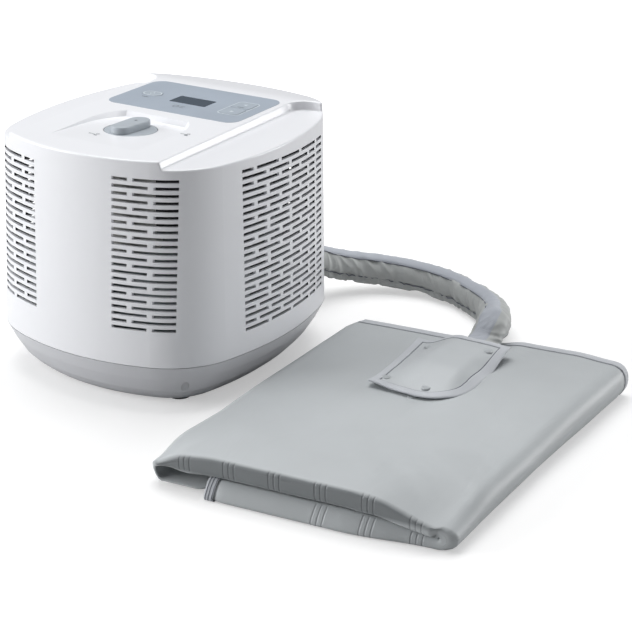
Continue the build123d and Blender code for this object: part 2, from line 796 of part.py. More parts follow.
def panel_key(name):
    """A key: a cap standing proud of the panel, a flange under it and a stem down to its switch."""
    stem_end = SWITCH_H + SWITCH_STEM_H + RUNNING + KEY_TRAVEL - BOARD_DROP
    flange_top = -PANEL_SUNK - RUNNING
    with BuildPart() as key:
        with BuildSketch(deck_plane.offset(flange_top - KEY_FLANGE_T)):
            add(key_flange(name))
        extrude(amount=KEY_FLANGE_T)
        with BuildSketch(deck_plane.offset(flange_top)):
            add(key_outline(name, 0))
        extrude(amount=PANEL_T + RUNNING + KEY_PROUD)
        fillet(key.faces().sort_by(Axis.Z)[-1].edges(), KEY_ROUND)
        with BuildSketch(deck_plane.offset(stem_end)):
            with Locations(key_spots[name]):
                Circle(KEY_STEM_R)
        extrude(amount=flange_top - KEY_FLANGE_T - stem_end)
    return key


power_key = panel_key("power_key")
power_key.part.label = "power_key"
temp_up_key = panel_key("temp_up_key")
temp_up_key.part.label = "temp_up_key"
temp_down_key = panel_key("temp_down_key")
temp_down_key.part.label = "temp_down_key"

# Filler: bayonet cap with its seal, and the neck that joins the housing's collar to the tank lid
lid_z = TANK_TOP_Z + GASKET_T
lid_top = lid_z + LID_T
ring_bottom = mouth_z - MOUTH_RING_T
seal_z = cap_seat_z - SEAL_DROP
seal_inner_r = NECK_BORE_R - RUNNING - SEAL_W
with BuildPart() as filler_cap:
    with BuildSketch(cap_plane.offset(cap_seat_z)):
        Circle(CAP_DISC_R)
    extrude(amount=CAP_DISC_T)
    fillet(filler_cap.edges().group_by(Axis.Z)[-1], CAP_EDGE_ROUND)
    with BuildSketch(cap_plane.offset(CAP_TOP_Z)):
        with Locations((0, BAR_L / 2 - BAR_REAR_R)):
            Circle(BAR_REAR_R)
        with Locations((0, BAR_NOSE_R - BAR_L / 2)):
            Circle(BAR_NOSE_R)
        make_hull()
    extrude(amount=BAR_H)
    fillet(filler_cap.edges().group_by(Axis.Z)[-1], BAR_ROUND)
    with BuildSketch(cap_plane.offset(cap_seat_z)):
        Circle(PLUG_R)
    extrude(amount=-PLUG_L)
    with BuildSketch(cap_plane.offset(lug_z)):
        Circle(LUG_R)
        Rectangle(2 * LUG_R, 2 * LUG_R * sin(radians(LUG_ARC / 2)), mode=Mode.INTERSECT)
    extrude(amount=LUG_H)
    with BuildSketch(cap_plane.offset(seal_z)):
        Circle(NECK_BORE_R)
        Circle(seal_inner_r, mode=Mode.SUBTRACT)
    extrude(amount=SEAL_H, mode=Mode.SUBTRACT)
    with BuildSketch(cap_plane.offset(cap_seat_z - PLUG_L)):
        Circle(PLUG_INNER_R)
    extrude(amount=PLUG_L, mode=Mode.SUBTRACT)
filler_cap.part.label = "filler_cap"

with BuildPart() as cap_seal:
    with BuildSketch(cap_plane.offset(seal_z)):
        Circle(seal_inner_r + SEAL_W)
        Circle(seal_inner_r, mode=Mode.SUBTRACT)
    extrude(amount=SEAL_H)
cap_seal.part.label = "cap_seal"

with BuildPart() as filler_neck:
    with BuildSketch(cap_plane.offset(lid_top)):
        Circle(NECK_FOOT_R)
    extrude(amount=NECK_FOOT_T)
    with BuildSketch(cap_plane.offset(lid_top)):
        Circle(NECK_BORE_R + NECK_WALL)
    extrude(amount=mouth_z - lid_top)
    with BuildSketch(cap_plane.offset(mouth_z - NECK_HEAD_T)):
        Circle(mouth_r - LOOSE)
    extrude(amount=NECK_HEAD_T)
    with BuildSketch(cap_plane.offset(lid_top)):
        Circle(NECK_BORE_R)
    extrude(amount=ring_bottom - lid_top, mode=Mode.SUBTRACT)
    with BuildSketch(cap_plane.offset(ring_bottom)):
        Circle(NECK_BORE_R)
        Rectangle(2 * NECK_BORE_R * sin(radians(NOTCH_ARC / 2)), 2 * NECK_BORE_R, mode=Mode.INTERSECT)
        Circle(MOUTH_RING_R)
    extrude(amount=MOUTH_RING_T, mode=Mode.SUBTRACT)
filler_neck.part.label = "filler_neck"


def tank_plan(grow):
    """The tank's plan, wide round corners in front and small ones behind, grown by grow."""
    with BuildSketch() as plan:
        with Locations((0, (TANK_FRONT_Y + TANK_REAR_Y) / 2)):
            Rectangle(TANK_W + 2 * grow, TANK_REAR_Y - TANK_FRONT_Y + 2 * grow)
        fillet(plan.vertices().group_by(Axis.Y)[0], TANK_FRONT_R + grow)
        fillet(plan.vertices().group_by(Axis.Y)[-1], TANK_REAR_R + grow)
    return plan.sketch


def rod_y(x, z, radius, front, rear, mode=Mode.ADD):
    """Add or cut a round bar along Y, from front to rear, in the part being built."""
    with Locations(Location((x, rear, z), (90, 0, 0))):
        Cylinder(radius, rear - front, align=(Align.CENTER, Align.CENTER, Align.MIN), mode=mode)


def nipple_y(x, z, front, rear, bore_front, bore_rear):
    """A hose nipple along Y with its bore."""
    rod_y(x, z, NIPPLE_R, front, rear)
    rod_y(x, z, NIPPLE_BORE_R, bore_front, bore_rear, Mode.SUBTRACT)


# Water tank with its gasket, lid, lid screws and level float
inner_x = [PORT_INNER_X - HOSE_SPACING / 2, PORT_INNER_X + HOSE_SPACING / 2]
tank_floor = chassis_top + TANK_WALL
lid_screw_spots = [(x, TANK_REAR_Y + TANK_FLANGE / 2) for x in LID_REAR_SCREWS_X]
for side in (-1, 1):
    lid_screw_spots.append((side * (TANK_W + TANK_FLANGE) / 2, LID_SIDE_SCREWS_Y))
for side in (-1, 1):
    lid_screw_spots.append((side * LID_FRONT_SCREWS_X, TANK_FRONT_Y - TANK_FLANGE / 2))
with BuildPart() as water_tank:
    with BuildSketch(Plane.XY.offset(chassis_top)):
        add(tank_plan(0))
    extrude(amount=TANK_TOP_Z - chassis_top)
    with BuildSketch(Plane.XY.offset(TANK_TOP_Z - TANK_FLANGE_T)):
        add(tank_plan(TANK_FLANGE))
    extrude(amount=TANK_FLANGE_T)
    with BuildSketch(Plane.XY.offset(tank_floor)):
        add(tank_plan(-TANK_WALL))
    extrude(amount=TANK_TOP_Z - tank_floor, mode=Mode.SUBTRACT)
    for x, z in [(PUMP_X, PUMP_Z), (inner_x[1], PORT_INNER_Z)]:
        nipple_y(x, z, TANK_REAR_Y, TANK_REAR_Y + NIPPLE_L, TANK_REAR_Y - 2 * TANK_WALL, TANK_REAR_Y + NIPPLE_L)
    with Locations(*[(x, y, TANK_TOP_Z) for x, y in lid_screw_spots]):
        Cylinder(BOARD_SCREW_R, 2 * LID_SCREW_BITE, mode=Mode.SUBTRACT)
water_tank.part.label = "water_tank"

with BuildPart() as tank_gasket:
    with BuildSketch(Plane.XY.offset(TANK_TOP_Z)):
        add(tank_plan(TANK_FLANGE))
        add(tank_plan(-TANK_WALL), mode=Mode.SUBTRACT)
        with Locations(*lid_screw_spots):
            Circle(BOARD_SCREW_R + LOOSE, mode=Mode.SUBTRACT)
    extrude(amount=GASKET_T)
tank_gasket.part.label = "tank_gasket"

with BuildPart() as tank_lid:
    with BuildSketch(Plane.XY.offset(lid_z)):
        add(tank_plan(TANK_FLANGE))
        with Locations((0, CAP_Y)):
            Circle(NECK_BORE_R, mode=Mode.SUBTRACT)
        with Locations(*lid_screw_spots):
            Circle(BOARD_SCREW_R + LOOSE, mode=Mode.SUBTRACT)
    extrude(amount=LID_T)
tank_lid.part.label = "tank_lid"

with BuildPart() as lid_screws:
    with BuildSketch(Plane.XY.offset(lid_top)):
        with Locations(*lid_screw_spots):
            Circle(BOARD_HEAD_R)
    extrude(amount=BOARD_HEAD_T)
    with BuildSketch(Plane.XY.offset(lid_top)):
        with Locations(*lid_screw_spots):
            Circle(BOARD_SCREW_R)
    extrude(amount=-LID_T - GASKET_T - LID_SCREW_BITE + SCREW_TIP_GAP)
lid_screws.part.label = "lid_screws"

float_z = tank_floor + STEM_STOP_T + RUNNING
with BuildPart() as float_stem:
    with BuildSketch(Plane.XY.offset(tank_floor)):
        with Locations((FLOAT_X, FLOAT_Y)):
            Circle(STEM_STOP_R)
    extrude(amount=STEM_STOP_T)
    with BuildSketch(Plane.XY.offset(tank_floor)):
        with Locations((FLOAT_X, FLOAT_Y)):
            Circle(STEM_R)
    extrude(amount=float_z - tank_floor + FLOAT_H + FLOAT_TRAVEL + STEM_STOP_T)
    with BuildSketch(Plane.XY.offset(float_z + FLOAT_H + FLOAT_TRAVEL + RUNNING)):
        with Locations((FLOAT_X, FLOAT_Y)):
            Circle(STEM_STOP_R)
    extrude(amount=STEM_STOP_T)
float_stem.part.label = "float_stem"

with BuildPart() as level_float:
    with BuildSketch(Plane.XY.offset(float_z)):
        with Locations((FLOAT_X, FLOAT_Y)):
            Circle(FLOAT_R)
            Circle(STEM_R + RUNNING, mode=Mode.SUBTRACT)
    extrude(amount=FLOAT_H)
level_float.part.label = "level_float"

# Pump behind the tank: volute, front cover, motor and impeller on a fixed pin
pump_rear = PUMP_FRONT_Y + VOLUTE_T
pump_y = PUMP_FRONT_Y + VOLUTE_T / 2
chamber_rear = pump_rear - VOLUTE_WALL
outlet_z = PUMP_Z + VOLUTE_R + OUTLET_BOSS_H
with BuildPart() as pump_housing:
    rod_y(PUMP_X, PUMP_Z, VOLUTE_R, PUMP_FRONT_Y, pump_rear)
    with BuildSketch(Plane.XY.offset(chassis_top)):
        with Locations((PUMP_X, pump_y)):
            Rectangle(PUMP_FOOT_W, VOLUTE_T)
    extrude(amount=PUMP_Z - chassis_top)
    with BuildSketch(Plane.XY.offset(PUMP_Z)):
        with Locations((PUMP_X, pump_y)):
            Circle(HOSE_R)
    extrude(amount=outlet_z - PUMP_Z)
    with BuildSketch(Plane.XY.offset(PUMP_Z)):
        with Locations((PUMP_X, pump_y)):
            Circle(NIPPLE_R)
    extrude(amount=outlet_z + NIPPLE_L - PUMP_Z)
    rod_y(PUMP_X, PUMP_Z, VOLUTE_R - VOLUTE_WALL, PUMP_FRONT_Y, chamber_rear, Mode.SUBTRACT)
    with BuildSketch(Plane.XY.offset(PUMP_Z)):
        with Locations((PUMP_X, pump_y)):
            Circle(NIPPLE_BORE_R)
    extrude(amount=outlet_z + NIPPLE_L - PUMP_Z, mode=Mode.SUBTRACT)
    rod_y(PUMP_X, PUMP_Z, PUMP_PIN_R, PUMP_FRONT_Y + CLEAR, chamber_rear)
pump_housing.part.label = "pump_housing"

with BuildPart() as pump_cover:
    rod_y(PUMP_X, PUMP_Z, VOLUTE_R, PUMP_FRONT_Y - PUMP_COVER_T, PUMP_FRONT_Y)
    stub_front = PUMP_FRONT_Y - PUMP_COVER_T - NIPPLE_L
    nipple_y(PUMP_X, PUMP_Z, stub_front, PUMP_FRONT_Y, stub_front, PUMP_FRONT_Y)
pump_cover.part.label = "pump_cover"

with BuildPart() as pump_motor:
    rod_y(PUMP_X, PUMP_Z, MOTOR_R, pump_rear, pump_rear + MOTOR_L)
    rod_y(PUMP_X, PUMP_Z, MOTOR_R / 2, pump_rear, pump_rear + MOTOR_L + MOTOR_CAP_T)
pump_motor.part.label = "pump_motor"

impeller_rear = chamber_rear - 2 * CLEAR
with BuildPart() as pump_impeller:
    rod_y(PUMP_X, PUMP_Z, IMPELLER_R, impeller_rear - IMPELLER_BACK_T, impeller_rear)
    rod_y(PUMP_X, PUMP_Z, IMPELLER_HUB_R, PUMP_FRONT_Y + 2 * CLEAR, impeller_rear)
    with BuildSketch(Plane.XZ.offset(-impeller_rear)):
        for i in range(IMPELLER_VANES):
            with Locations(Location((PUMP_X, PUMP_Z, 0), (0, 0, i * 360 / IMPELLER_VANES))):
                Rectangle(IMPELLER_R - CLEAR, VANE_T, align=(Align.MIN, Align.CENTER))
    extrude(amount=impeller_rear - PUMP_FRONT_Y - IMPELLER_BACK_T)
    rod_y(PUMP_X, PUMP_Z, PUMP_PIN_R + RUNNING, PUMP_FRONT_Y, impeller_rear, Mode.SUBTRACT)
pump_impeller.part.label = "pump_impeller"

# Cooler on its stand: cold block in foam, thermoelectric modules, heat sink, fan
sink_z = STAND_TOP_Z + FAN_SIZE / 2
cold_rear = COLD_Y + COLD_T
sink_y = cold_rear + PELTIER_T
fins_end = sink_y + SINK_BASE_T + SINK_FIN_L
fan_rear = fins_end + FAN_T
with BuildPart() as cooler_stand:
    with Locations((0, (sink_y + fan_rear) / 2, STAND_TOP_Z)):
        Box(STAND_W, fan_rear - sink_y, STAND_TOP_Z - chassis_top, align=(Align.CENTER, Align.CENTER, Align.MAX))
    with Locations((0, (sink_y + fan_rear) / 2, chassis_top)):
        Box(
            STAND_W - 2 * STAND_T,
            fan_rear - sink_y,
            STAND_TOP_Z - STAND_T - chassis_top,
            align=(Align.CENTER, Align.CENTER, Align.MIN),
            mode=Mode.SUBTRACT,
        )
    with Locations(Location((0, (sink_y + fan_rear) / 2, chassis_top), (0, 90, 0))):
        Cylinder(STAND_ARCH_R, STAND_W, mode=Mode.SUBTRACT)
cooler_stand.part.label = "cooler_stand"

with BuildPart() as cold_block:
    with Locations((0, COLD_Y, sink_z)):
        Box(COLD_W, COLD_T, COLD_H, align=(Align.CENTER, Align.MIN, Align.CENTER))
    with Locations(Location((0, COLD_Y + COLD_T / 2, sink_z), (0, 90, 0))):
        Cylinder(NIPPLE_R, COLD_W + 2 * COLD_NIPPLE_L)
        Cylinder(NIPPLE_BORE_R, COLD_W + 2 * COLD_NIPPLE_L, mode=Mode.SUBTRACT)
cold_block.part.label = "cold_block"

with BuildPart() as block_insulation:
    with Locations((0, COLD_Y - FOAM_T, sink_z)):
        Box(
            COLD_W + 2 * FOAM_T,
            COLD_T + FOAM_T,
            COLD_H + 2 * FOAM_T,
            align=(Align.CENTER, Align.MIN, Align.CENTER),
        )
    with Locations((0, COLD_Y, sink_z)):
        Box(COLD_W, COLD_T, COLD_H, align=(Align.CENTER, Align.MIN, Align.CENTER), mode=Mode.SUBTRACT)
    with Locations(Location((0, COLD_Y + COLD_T / 2, sink_z), (0, 90, 0))):
        Cylinder(NIPPLE_R, COLD_W + 2 * COLD_NIPPLE_L, mode=Mode.SUBTRACT)
block_insulation.part.label = "block_insulation"

with BuildPart() as peltier_modules:
    with Locations((-PELTIER_X, cold_rear, sink_z), (PELTIER_X, cold_rear, sink_z)):
        Box(PELTIER, PELTIER_T, PELTIER, align=(Align.CENTER, Align.MIN, Align.CENTER))
peltier_modules.part.label = "peltier_modules"

fan_holes = [(x * FAN_HOLE_PITCH / 2, sink_z + z * FAN_HOLE_PITCH / 2) for x in (-1, 1) for z in (-1, 1)]
fin_pitch = (SINK_W - FIN_T) / (FIN_COUNT - 1)
with BuildPart() as heat_sink:
    with Locations((0, sink_y, sink_z)):
        Box(SINK_W, SINK_BASE_T, FAN_SIZE, align=(Align.CENTER, Align.MIN, Align.CENTER))
    with Locations(*[((i - (FIN_COUNT - 1) / 2) * fin_pitch, sink_y, sink_z) for i in range(FIN_COUNT)]):
        Box(FIN_T, SINK_BASE_T + SINK_FIN_L, FAN_SIZE, align=(Align.CENTER, Align.MIN, Align.CENTER))
    with Locations(*[(x, sink_y, z) for x, z in fan_holes]):
        Box(SINK_POST, SINK_BASE_T + SINK_FIN_L, SINK_POST, align=(Align.CENTER, Align.MIN, Align.CENTER))
    for x, z in fan_holes:
        rod_y(x, z, FAN_SCREW_R, fins_end - FAN_SCREW_BITE, fins_end, Mode.SUBTRACT)
heat_sink.part.label = "heat_sink"

arms_front = fan_rear - FAN_ARM_T
with BuildPart() as fan_frame:
    with BuildSketch(Plane.XZ.offset(-fan_rear)):
        with Locations((0, sink_z)):
            RectangleRounded(FAN_SIZE, FAN_SIZE, FAN_R)
            Circle(FAN_BORE_R, mode=Mode.SUBTRACT)
        with Locations(*fan_holes):
            Circle(FAN_HOLE_R, mode=Mode.SUBTRACT)
    extrude(amount=FAN_T)
    with BuildSketch(Plane.XZ.offset(-fan_rear)):
        with Locations((0, sink_z)):
            Circle(FAN_HUB_R)
        for turn in (45, 135):
            with Locations(Location((0, sink_z, 0), (0, 0, turn))):
                Rectangle(2 * FAN_BORE_R + FAN_ARM_T, FAN_ARM_W)
    extrude(amount=FAN_ARM_T)
    rod_y(0, sink_z, FAN_SHAFT_R, fins_end + FAN_ARM_T, arms_front)
fan_frame.part.label = "fan_frame"

rotor_front = fins_end + FAN_TIP_GAP
rotor_rear = arms_front - FAN_TIP_GAP
blade_spot = Plane(origin=(0, (rotor_front + rotor_rear) / 2, sink_z), x_dir=(1, 0, 0), z_dir=(0, -1, 0))
with BuildPart() as fan_blades:
    with Locations(blade_spot):
        with PolarLocations(0, FAN_BLADES):
            Box(
                FAN_BORE_R,
                FAN_BLADE_CHORD,
                FAN_BLADE_T,
                rotation=(FAN_BLADE_PITCH, 0, 0),
                align=(Align.MIN, Align.CENTER, Align.CENTER),
            )
    with Locations(blade_spot):
        Cylinder(FAN_BORE_R - FAN_TIP_GAP, rotor_rear - rotor_front, mode=Mode.INTERSECT)

with BuildPart() as fan_rotor:
    add(fan_blades.part)
    rod_y(0, sink_z, FAN_HUB_R, rotor_front, rotor_rear)
    rod_y(0, sink_z, FAN_SHAFT_R + RUNNING, rotor_front, rotor_rear, Mode.SUBTRACT)
fan_rotor.part.label = "fan_rotor"

with BuildPart() as fan_screws:
    for x, z in fan_holes:
        rod_y(x, z, FAN_HEAD_R, fan_rear, fan_rear + SCREW_HEAD_T)
        rod_y(x, z, FAN_SCREW_R, fins_end - FAN_SCREW_BITE + SCREW_TIP_GAP, fan_rear)
fan_screws.part.label = "fan_screws"

# Rear fittings: oval hose port and power inlet
port_point = Vector(PORT_X, PORT_FACE_Y, PORT_Z)
port_spots = [(-HOSE_SPACING / 2, 0), (HOSE_SPACING / 2, 0)]
with BuildPart() as hose_port:
    with BuildSketch(port_plane):
        RectangleRounded(PORT_W, PORT_H, PORT_H / 2 - RUNNING)
    extrude(amount=-PORT_L)
    with Locations((PORT_INNER_X, PORT_INNER_Y, PORT_INNER_Z)):
        Box(PORT_W, PORT_INNER_T, PORT_H, align=(Align.CENTER, Align.MIN, Align.CENTER))
    with BuildSketch(port_plane):
        with Locations(*port_spots):
            Circle(NIPPLE_R)
    extrude(amount=NIPPLE_L)
    for x in inner_x:
        rod_y(x, PORT_INNER_Z, NIPPLE_R, PORT_INNER_Y - NIPPLE_L, PORT_INNER_Y)
        rod_y(x, PORT_INNER_Z, NIPPLE_BORE_R, PORT_INNER_Y - NIPPLE_L, PORT_INNER_Y + PORT_INNER_T, Mode.SUBTRACT)
    with BuildSketch(port_plane.offset(NIPPLE_L)):
        with Locations(*port_spots):
            Circle(NIPPLE_BORE_R)
    extrude(amount=-PORT_L - NIPPLE_L, mode=Mode.SUBTRACT)
hose_port.part.label = "hose_port"

with BuildPart() as power_inlet:
    with Locations((INLET_X, INLET_FACE_Y, INLET_Z)):
        Box(INLET_W, INLET_FACE_Y - INLET_INNER_Y, INLET_H, align=(Align.CENTER, Align.MAX, Align.CENTER))
    with BuildSketch(Plane.XZ.offset(-INLET_FACE_Y)):
        with Locations((INLET_X, INLET_Z)):
            Rectangle(SOCKET_W, SOCKET_H)
    extrude(amount=SOCKET_DEPTH, mode=Mode.SUBTRACT)
    with Locations(*[(INLET_X + x, INLET_FACE_Y - SOCKET_DEPTH, INLET_Z + z) for x, z in PIN_SPOTS]):
        Box(PIN_W, PIN_L, PIN_H, align=(Align.CENTER, Align.MIN, Align.CENTER))
power_inlet.part.label = "power_inlet"

# Power supply under the chassis plate
with BuildPart() as power_board:
    with BuildSketch(Plane.XY.offset(supply_z)):
        with Locations((0, SUPPLY_Y)):
            Rectangle(SUPPLY_W, SUPPLY_D)
        with Locations(*supply_posts):
            Circle(BOARD_SCREW_R + LOOSE, mode=Mode.SUBTRACT)
    extrude(amount=BOARD_T)
power_board.part.label = "power_board"

with BuildPart() as transformer:
    with Locations((-SUPPLY_W / 5, SUPPLY_Y, supply_top)):
        Box(TRANSFORMER_W, TRANSFORMER_D, TRANSFORMER_H, align=(Align.CENTER, Align.CENTER, Align.MIN))
transformer.part.label = "transformer"

with BuildPart() as board_capacitors:
    with BuildSketch(Plane.XY.offset(supply_top)):
        with Locations(*[(SUPPLY_W / 6, SUPPLY_Y - i * SUPPLY_D / 4) for i in (-1, 0, 1)]):
            Circle(CAPACITOR_R)
    extrude(amount=CAPACITOR_H)
board_capacitors.part.label = "board_capacitors"


def bend_radii(points):
    """A bend radius for each corner of a route, as large as its shorter run allows."""
    route = [Vector(*point) for point in points]
    radii = []
    for before, here, after in zip(route, route[1:], route[2:]):
        turn = (here - before).get_angle(after - here)
        shorter = min((here - before).length, (after - here).length)
        radii.append(BEND_SHARE * shorter / tan(radians(turn) / 2))
    return radii


def hose_path(points):
    """Straight runs joined by tangent bends through the route's points."""
    with BuildLine() as path:
        if len(points) > 2:
            FilletPolyline(*points, radius=bend_radii(points))
        else:
            Line(*points)
    return path.wire()


def tube(points, outer_r, inner_r):
    """A hose or sleeve along a route."""
    path = hose_path(points)
    with BuildPart() as hose:
        with BuildSketch(Plane(origin=path @ 0, z_dir=path % 0)):
            Circle(outer_r)
            Circle(inner_r, mode=Mode.SUBTRACT)
        sweep(path=path)
    return hose


# Hoses inside the chiller
hose_y = COLD_Y + COLD_T / 2
feed_x = COLD_W / 2 + FOAM_T + CLEAR
tank_suction_hose = tube(
    [(PUMP_X, TANK_REAR_Y + CLEAR, PUMP_Z), (PUMP_X, PUMP_FRONT_Y - PUMP_COVER_T - CLEAR, PUMP_Z)], HOSE_R, HOSE_BORE_R
)
tank_suction_hose.part.label = "tank_suction_hose"
pump_feed_hose = tube(
    [(PUMP_X, pump_y, outlet_z + CLEAR), (PUMP_X, pump_y, sink_z), (feed_x, pump_y, sink_z)], HOSE_R, HOSE_BORE_R
)
pump_feed_hose.part.label = "pump_feed_hose"
block_delivery_hose = tube(
    [
        (inner_x[0], PORT_INNER_Y - CLEAR, PORT_INNER_Z),
        (inner_x[0], hose_y, PORT_INNER_Z),
        (-DELIVERY_X, hose_y, PORT_INNER_Z),
        (-DELIVERY_X, hose_y, sink_z),
        (-feed_x, hose_y, sink_z),
    ],
    HOSE_R,
    HOSE_BORE_R,
)
block_delivery_hose.part.label = "block_delivery_hose"
tank_return_hose = tube(
    [(inner_x[1], PORT_INNER_Y - CLEAR, PORT_INNER_Z), (inner_x[1], TANK_REAR_Y + CLEAR, PORT_INNER_Z)],
    HOSE_R,
    HOSE_BORE_R,
)
tank_return_hose.part.label = "tank_return_hose"

# Hose outside: two hoses in a gathered sleeve, whose neck flattens on the mat
neck_z = mat_top + CLEAR + NECK_H / 2
port_end = port_point + port_axis * PORT_RUN
sleeve_route = [tuple(port_point), tuple(port_end)] + HOSE_ROUTE
hose_route = sleeve_route + [(NECK_X, NECK_END_Y, neck_z), (NECK_X, COUPLING_Y, neck_z)]


def beside(points, offset):
    """The route moved sideways in plan by offset, to the right of its run."""
    route = [Vector(*point) for point in points]
    ahead = route[1:] + [route[-1] + Vector(0, -1, 0)]
    behind = [route[0] - port_axis] + route[:-1]
    moved = []
    for here, before, after in zip(route, behind, ahead):
        run = after - before
        across = Vector(run.Y, -run.X, 0).normalized()
        moved.append(tuple(here + across * offset))
    return moved


hose_sleeve = tube(sleeve_route, SLEEVE_R, SLEEVE_R - SLEEVE_T)
hose_sleeve.part.label = "hose_sleeve"
supply_route = beside(hose_route, HOSE_SPACING / 2)
return_route = beside(hose_route, -HOSE_SPACING / 2)
supply_route[0] = tuple(Vector(*supply_route[0]) + port_axis * CLEAR)
return_route[0] = tuple(Vector(*return_route[0]) + port_axis * CLEAR)
supply_hose = tube(supply_route, HOSE_R, HOSE_BORE_R)
supply_hose.part.label = "supply_hose"
return_hose = tube(return_route, HOSE_R, HOSE_BORE_R)
return_hose.part.label = "return_hose"
print("sleeve bends", [round(radius, 1) for radius in bend_radii(sleeve_route)])
print("sleeve length", round(hose_path(sleeve_route).length, 1), "hoses", round(hose_path(supply_route).length, 1))

neck_run = (Vector(*HOSE_ROUTE[-1]) - Vector(*HOSE_ROUTE[-2])).normalized()
neck_start = Plane(origin=HOSE_ROUTE[-1], x_dir=(-neck_run.Y, neck_run.X, 0), z_dir=neck_run)
neck_end = Plane(origin=(NECK_X, NECK_END_Y, neck_z), x_dir=(1, 0, 0), z_dir=(0, -1, 0))


def oval(wide, high, sides):
    """Corner points of an oval with flat sides."""
    turns = [2 * pi * side / sides for side in range(sides)]
    return [(wide * cos(turn), high * sin(turn)) for turn in turns]


def neck_form(inset):
    """The sleeve's end from round to flat oval, drawn in by inset."""
    with BuildPart() as form:
        for plane, wide, high in ((neck_start, SLEEVE_R, SLEEVE_R), (neck_end, NECK_W / 2, NECK_H / 2)):
            with BuildSketch(plane):
                with BuildLine():
                    Polyline(*oval(wide - inset, high - inset, NECK_SIDES), close=True)
                make_face()
        loft(ruled=True)
    return form.part


neck_outside = neck_form(0)
neck_inside = neck_form(SLEEVE_T)
with BuildPart() as sleeve_neck:
    add(neck_outside)
    add(neck_inside, mode=Mode.SUBTRACT)
sleeve_neck.part.label = "sleeve_neck"

# Couplings on the mat, and the block that leads them into it
coupling_x = [NECK_X - HOSE_SPACING / 2, NECK_X + HOSE_SPACING / 2]
coupling_front = COUPLING_Y - COUPLING_L
with BuildPart() as hose_couplings:
    for x in coupling_x:
        rod_y(x, neck_z, COUPLING_R, coupling_front, COUPLING_Y - CLEAR)
        rod_y(x, neck_z, NIPPLE_R, COUPLING_Y - 2 * CLEAR, COUPLING_Y + COUPLING_TAIL)
        rod_y(x, neck_z, NIPPLE_BORE_R, coupling_front, COUPLING_Y + COUPLING_TAIL, Mode.SUBTRACT)
        rod_y(x, neck_z, HOSE_BORE_R, coupling_front, coupling_front + NIPPLE_L, Mode.SUBTRACT)
hose_couplings.part.label = "hose_couplings"

with BuildPart() as mat_ports:
    with Locations((NECK_X, coupling_front - CLEAR, mat_top)):
        Box(PORT_PLATE_W, PORT_PLATE_D, PORT_PLATE_T, align=(Align.CENTER, Align.MAX, Align.MIN))
        Box(PORT_BLOCK_W, PORT_BLOCK_D, PORT_BLOCK_H, align=(Align.CENTER, Align.MAX, Align.MIN))
    for x in coupling_x:
        rod_y(x, neck_z, NIPPLE_R, coupling_front - PORT_BLOCK_D / 2, coupling_front + NIPPLE_L - 2 * CLEAR)
        rod_y(x, neck_z, NIPPLE_BORE_R, coupling_front - PORT_BLOCK_D / 2, coupling_front + NIPPLE_L, Mode.SUBTRACT)
mat_ports.part.label = "mat_ports"


def mat_section(left_x, right_x, half):
    """Outline of the folded strip: bottom layer, right fold, top layer, left fold, inner layer."""
    low = MAT_THICK / 2
    mid = low + mat_pitch
    high = mid + mat_pitch
    slanted = cos(radians(MAT_SLANT))
    right = (right_x - MAT_MID_X) / slanted - mat_pitch - MAT_THICK / 2
    left = (left_x - MAT_MID_X) / slanted + mat_pitch / 2 + MAT_THICK / 2
    end = (MAT_END_X - MAT_MID_X) / slanted
    fold = (mid + high) / 2
    with BuildSketch() as section:
        with BuildLine():
            Line((end, low - half), (right, low - half))
            CenterArc((right, mid), mat_pitch + half, -90, 90)
            CenterArc((right, mid), mat_pitch + half, 0, 90)
            Line((right, high + half), (left, high + half))
            CenterArc((left, fold), mat_pitch / 2 + half, 90, 90)
            CenterArc((left, fold), mat_pitch / 2 + half, 180, 90)
            Line((left, mid - half), (right, mid - half))
            CenterArc((right, mid), half, -90, 90)
            CenterArc((right, mid), half, 0, 90)
            Line((right, mid + half), (left, mid + half))
            CenterArc((left, fold), mat_pitch / 2 - half, 270, -90)
            CenterArc((left, fold), mat_pitch / 2 - half, 180, -90)
            Line((left, high - half), (right, high - half))
            CenterArc((right, mid), mat_pitch - half, 90, -90)
            CenterArc((right, mid), mat_pitch - half, 0, -90)
            Line((right, low + half), (end, low + half))
            Line((end, low + half), (end, low - half))
        make_face()
    return section.sketch


def mat_plane(y):
    """Slanted plane across the mat at y, seen from the front."""
    slant = radians(MAT_SLANT)
    return Plane(origin=(MAT_MID_X, y, 0), x_dir=(cos(slant), sin(slant), 0), z_dir=(sin(slant), -cos(slant), 0))


with BuildPart() as mat:
    for y, left_x, right_x, share in MAT_STATIONS:
        with BuildSketch(mat_plane(y)):
            add(mat_section(left_x, right_x, share * MAT_THICK / 2))
    loft(ruled=True)
mat.part.label = "mat"

tape_left, tape_right = [x - MAT_MID_X for x in TAPE_SPAN]
with BuildPart() as mat_edge_binding:
    with BuildSketch(mat_plane(MAT_REAR_Y + TAPE_T)):
        with Locations((tape_left, mat_top - TAPE_DROP)):
            Rectangle(tape_right - tape_left, TAPE_DROP + TAPE_T, align=(Align.MIN, Align.MIN))
    extrude(amount=TAPE_W)
    with BuildSketch(mat_plane(MAT_REAR_Y + TAPE_GAP)):
        with Locations((tape_left - TAPE_T, mat_top - 2 * TAPE_DROP)):
            Rectangle(tape_right - tape_left + 2 * TAPE_T, 2 * TAPE_DROP + TAPE_GAP, align=(Align.MIN, Align.MIN))
    extrude(amount=TAPE_W, mode=Mode.SUBTRACT)
mat_edge_binding.part.label = "mat_edge_binding"

with BuildPart() as mat_end_binding:
    for y in (MAT_FRONT_Y + TAPE_W, MAT_REAR_Y - TAPE_W):
        with BuildSketch(mat_plane(y)):
            with Locations(((MAT_END_X - MAT_MID_X) / cos(radians(MAT_SLANT)), MAT_THICK / 2)):
                Rectangle(TAPE_T, MAT_THICK, align=(Align.MAX, Align.CENTER))
    loft(ruled=True)
mat_end_binding.part.label = "mat_end_binding"

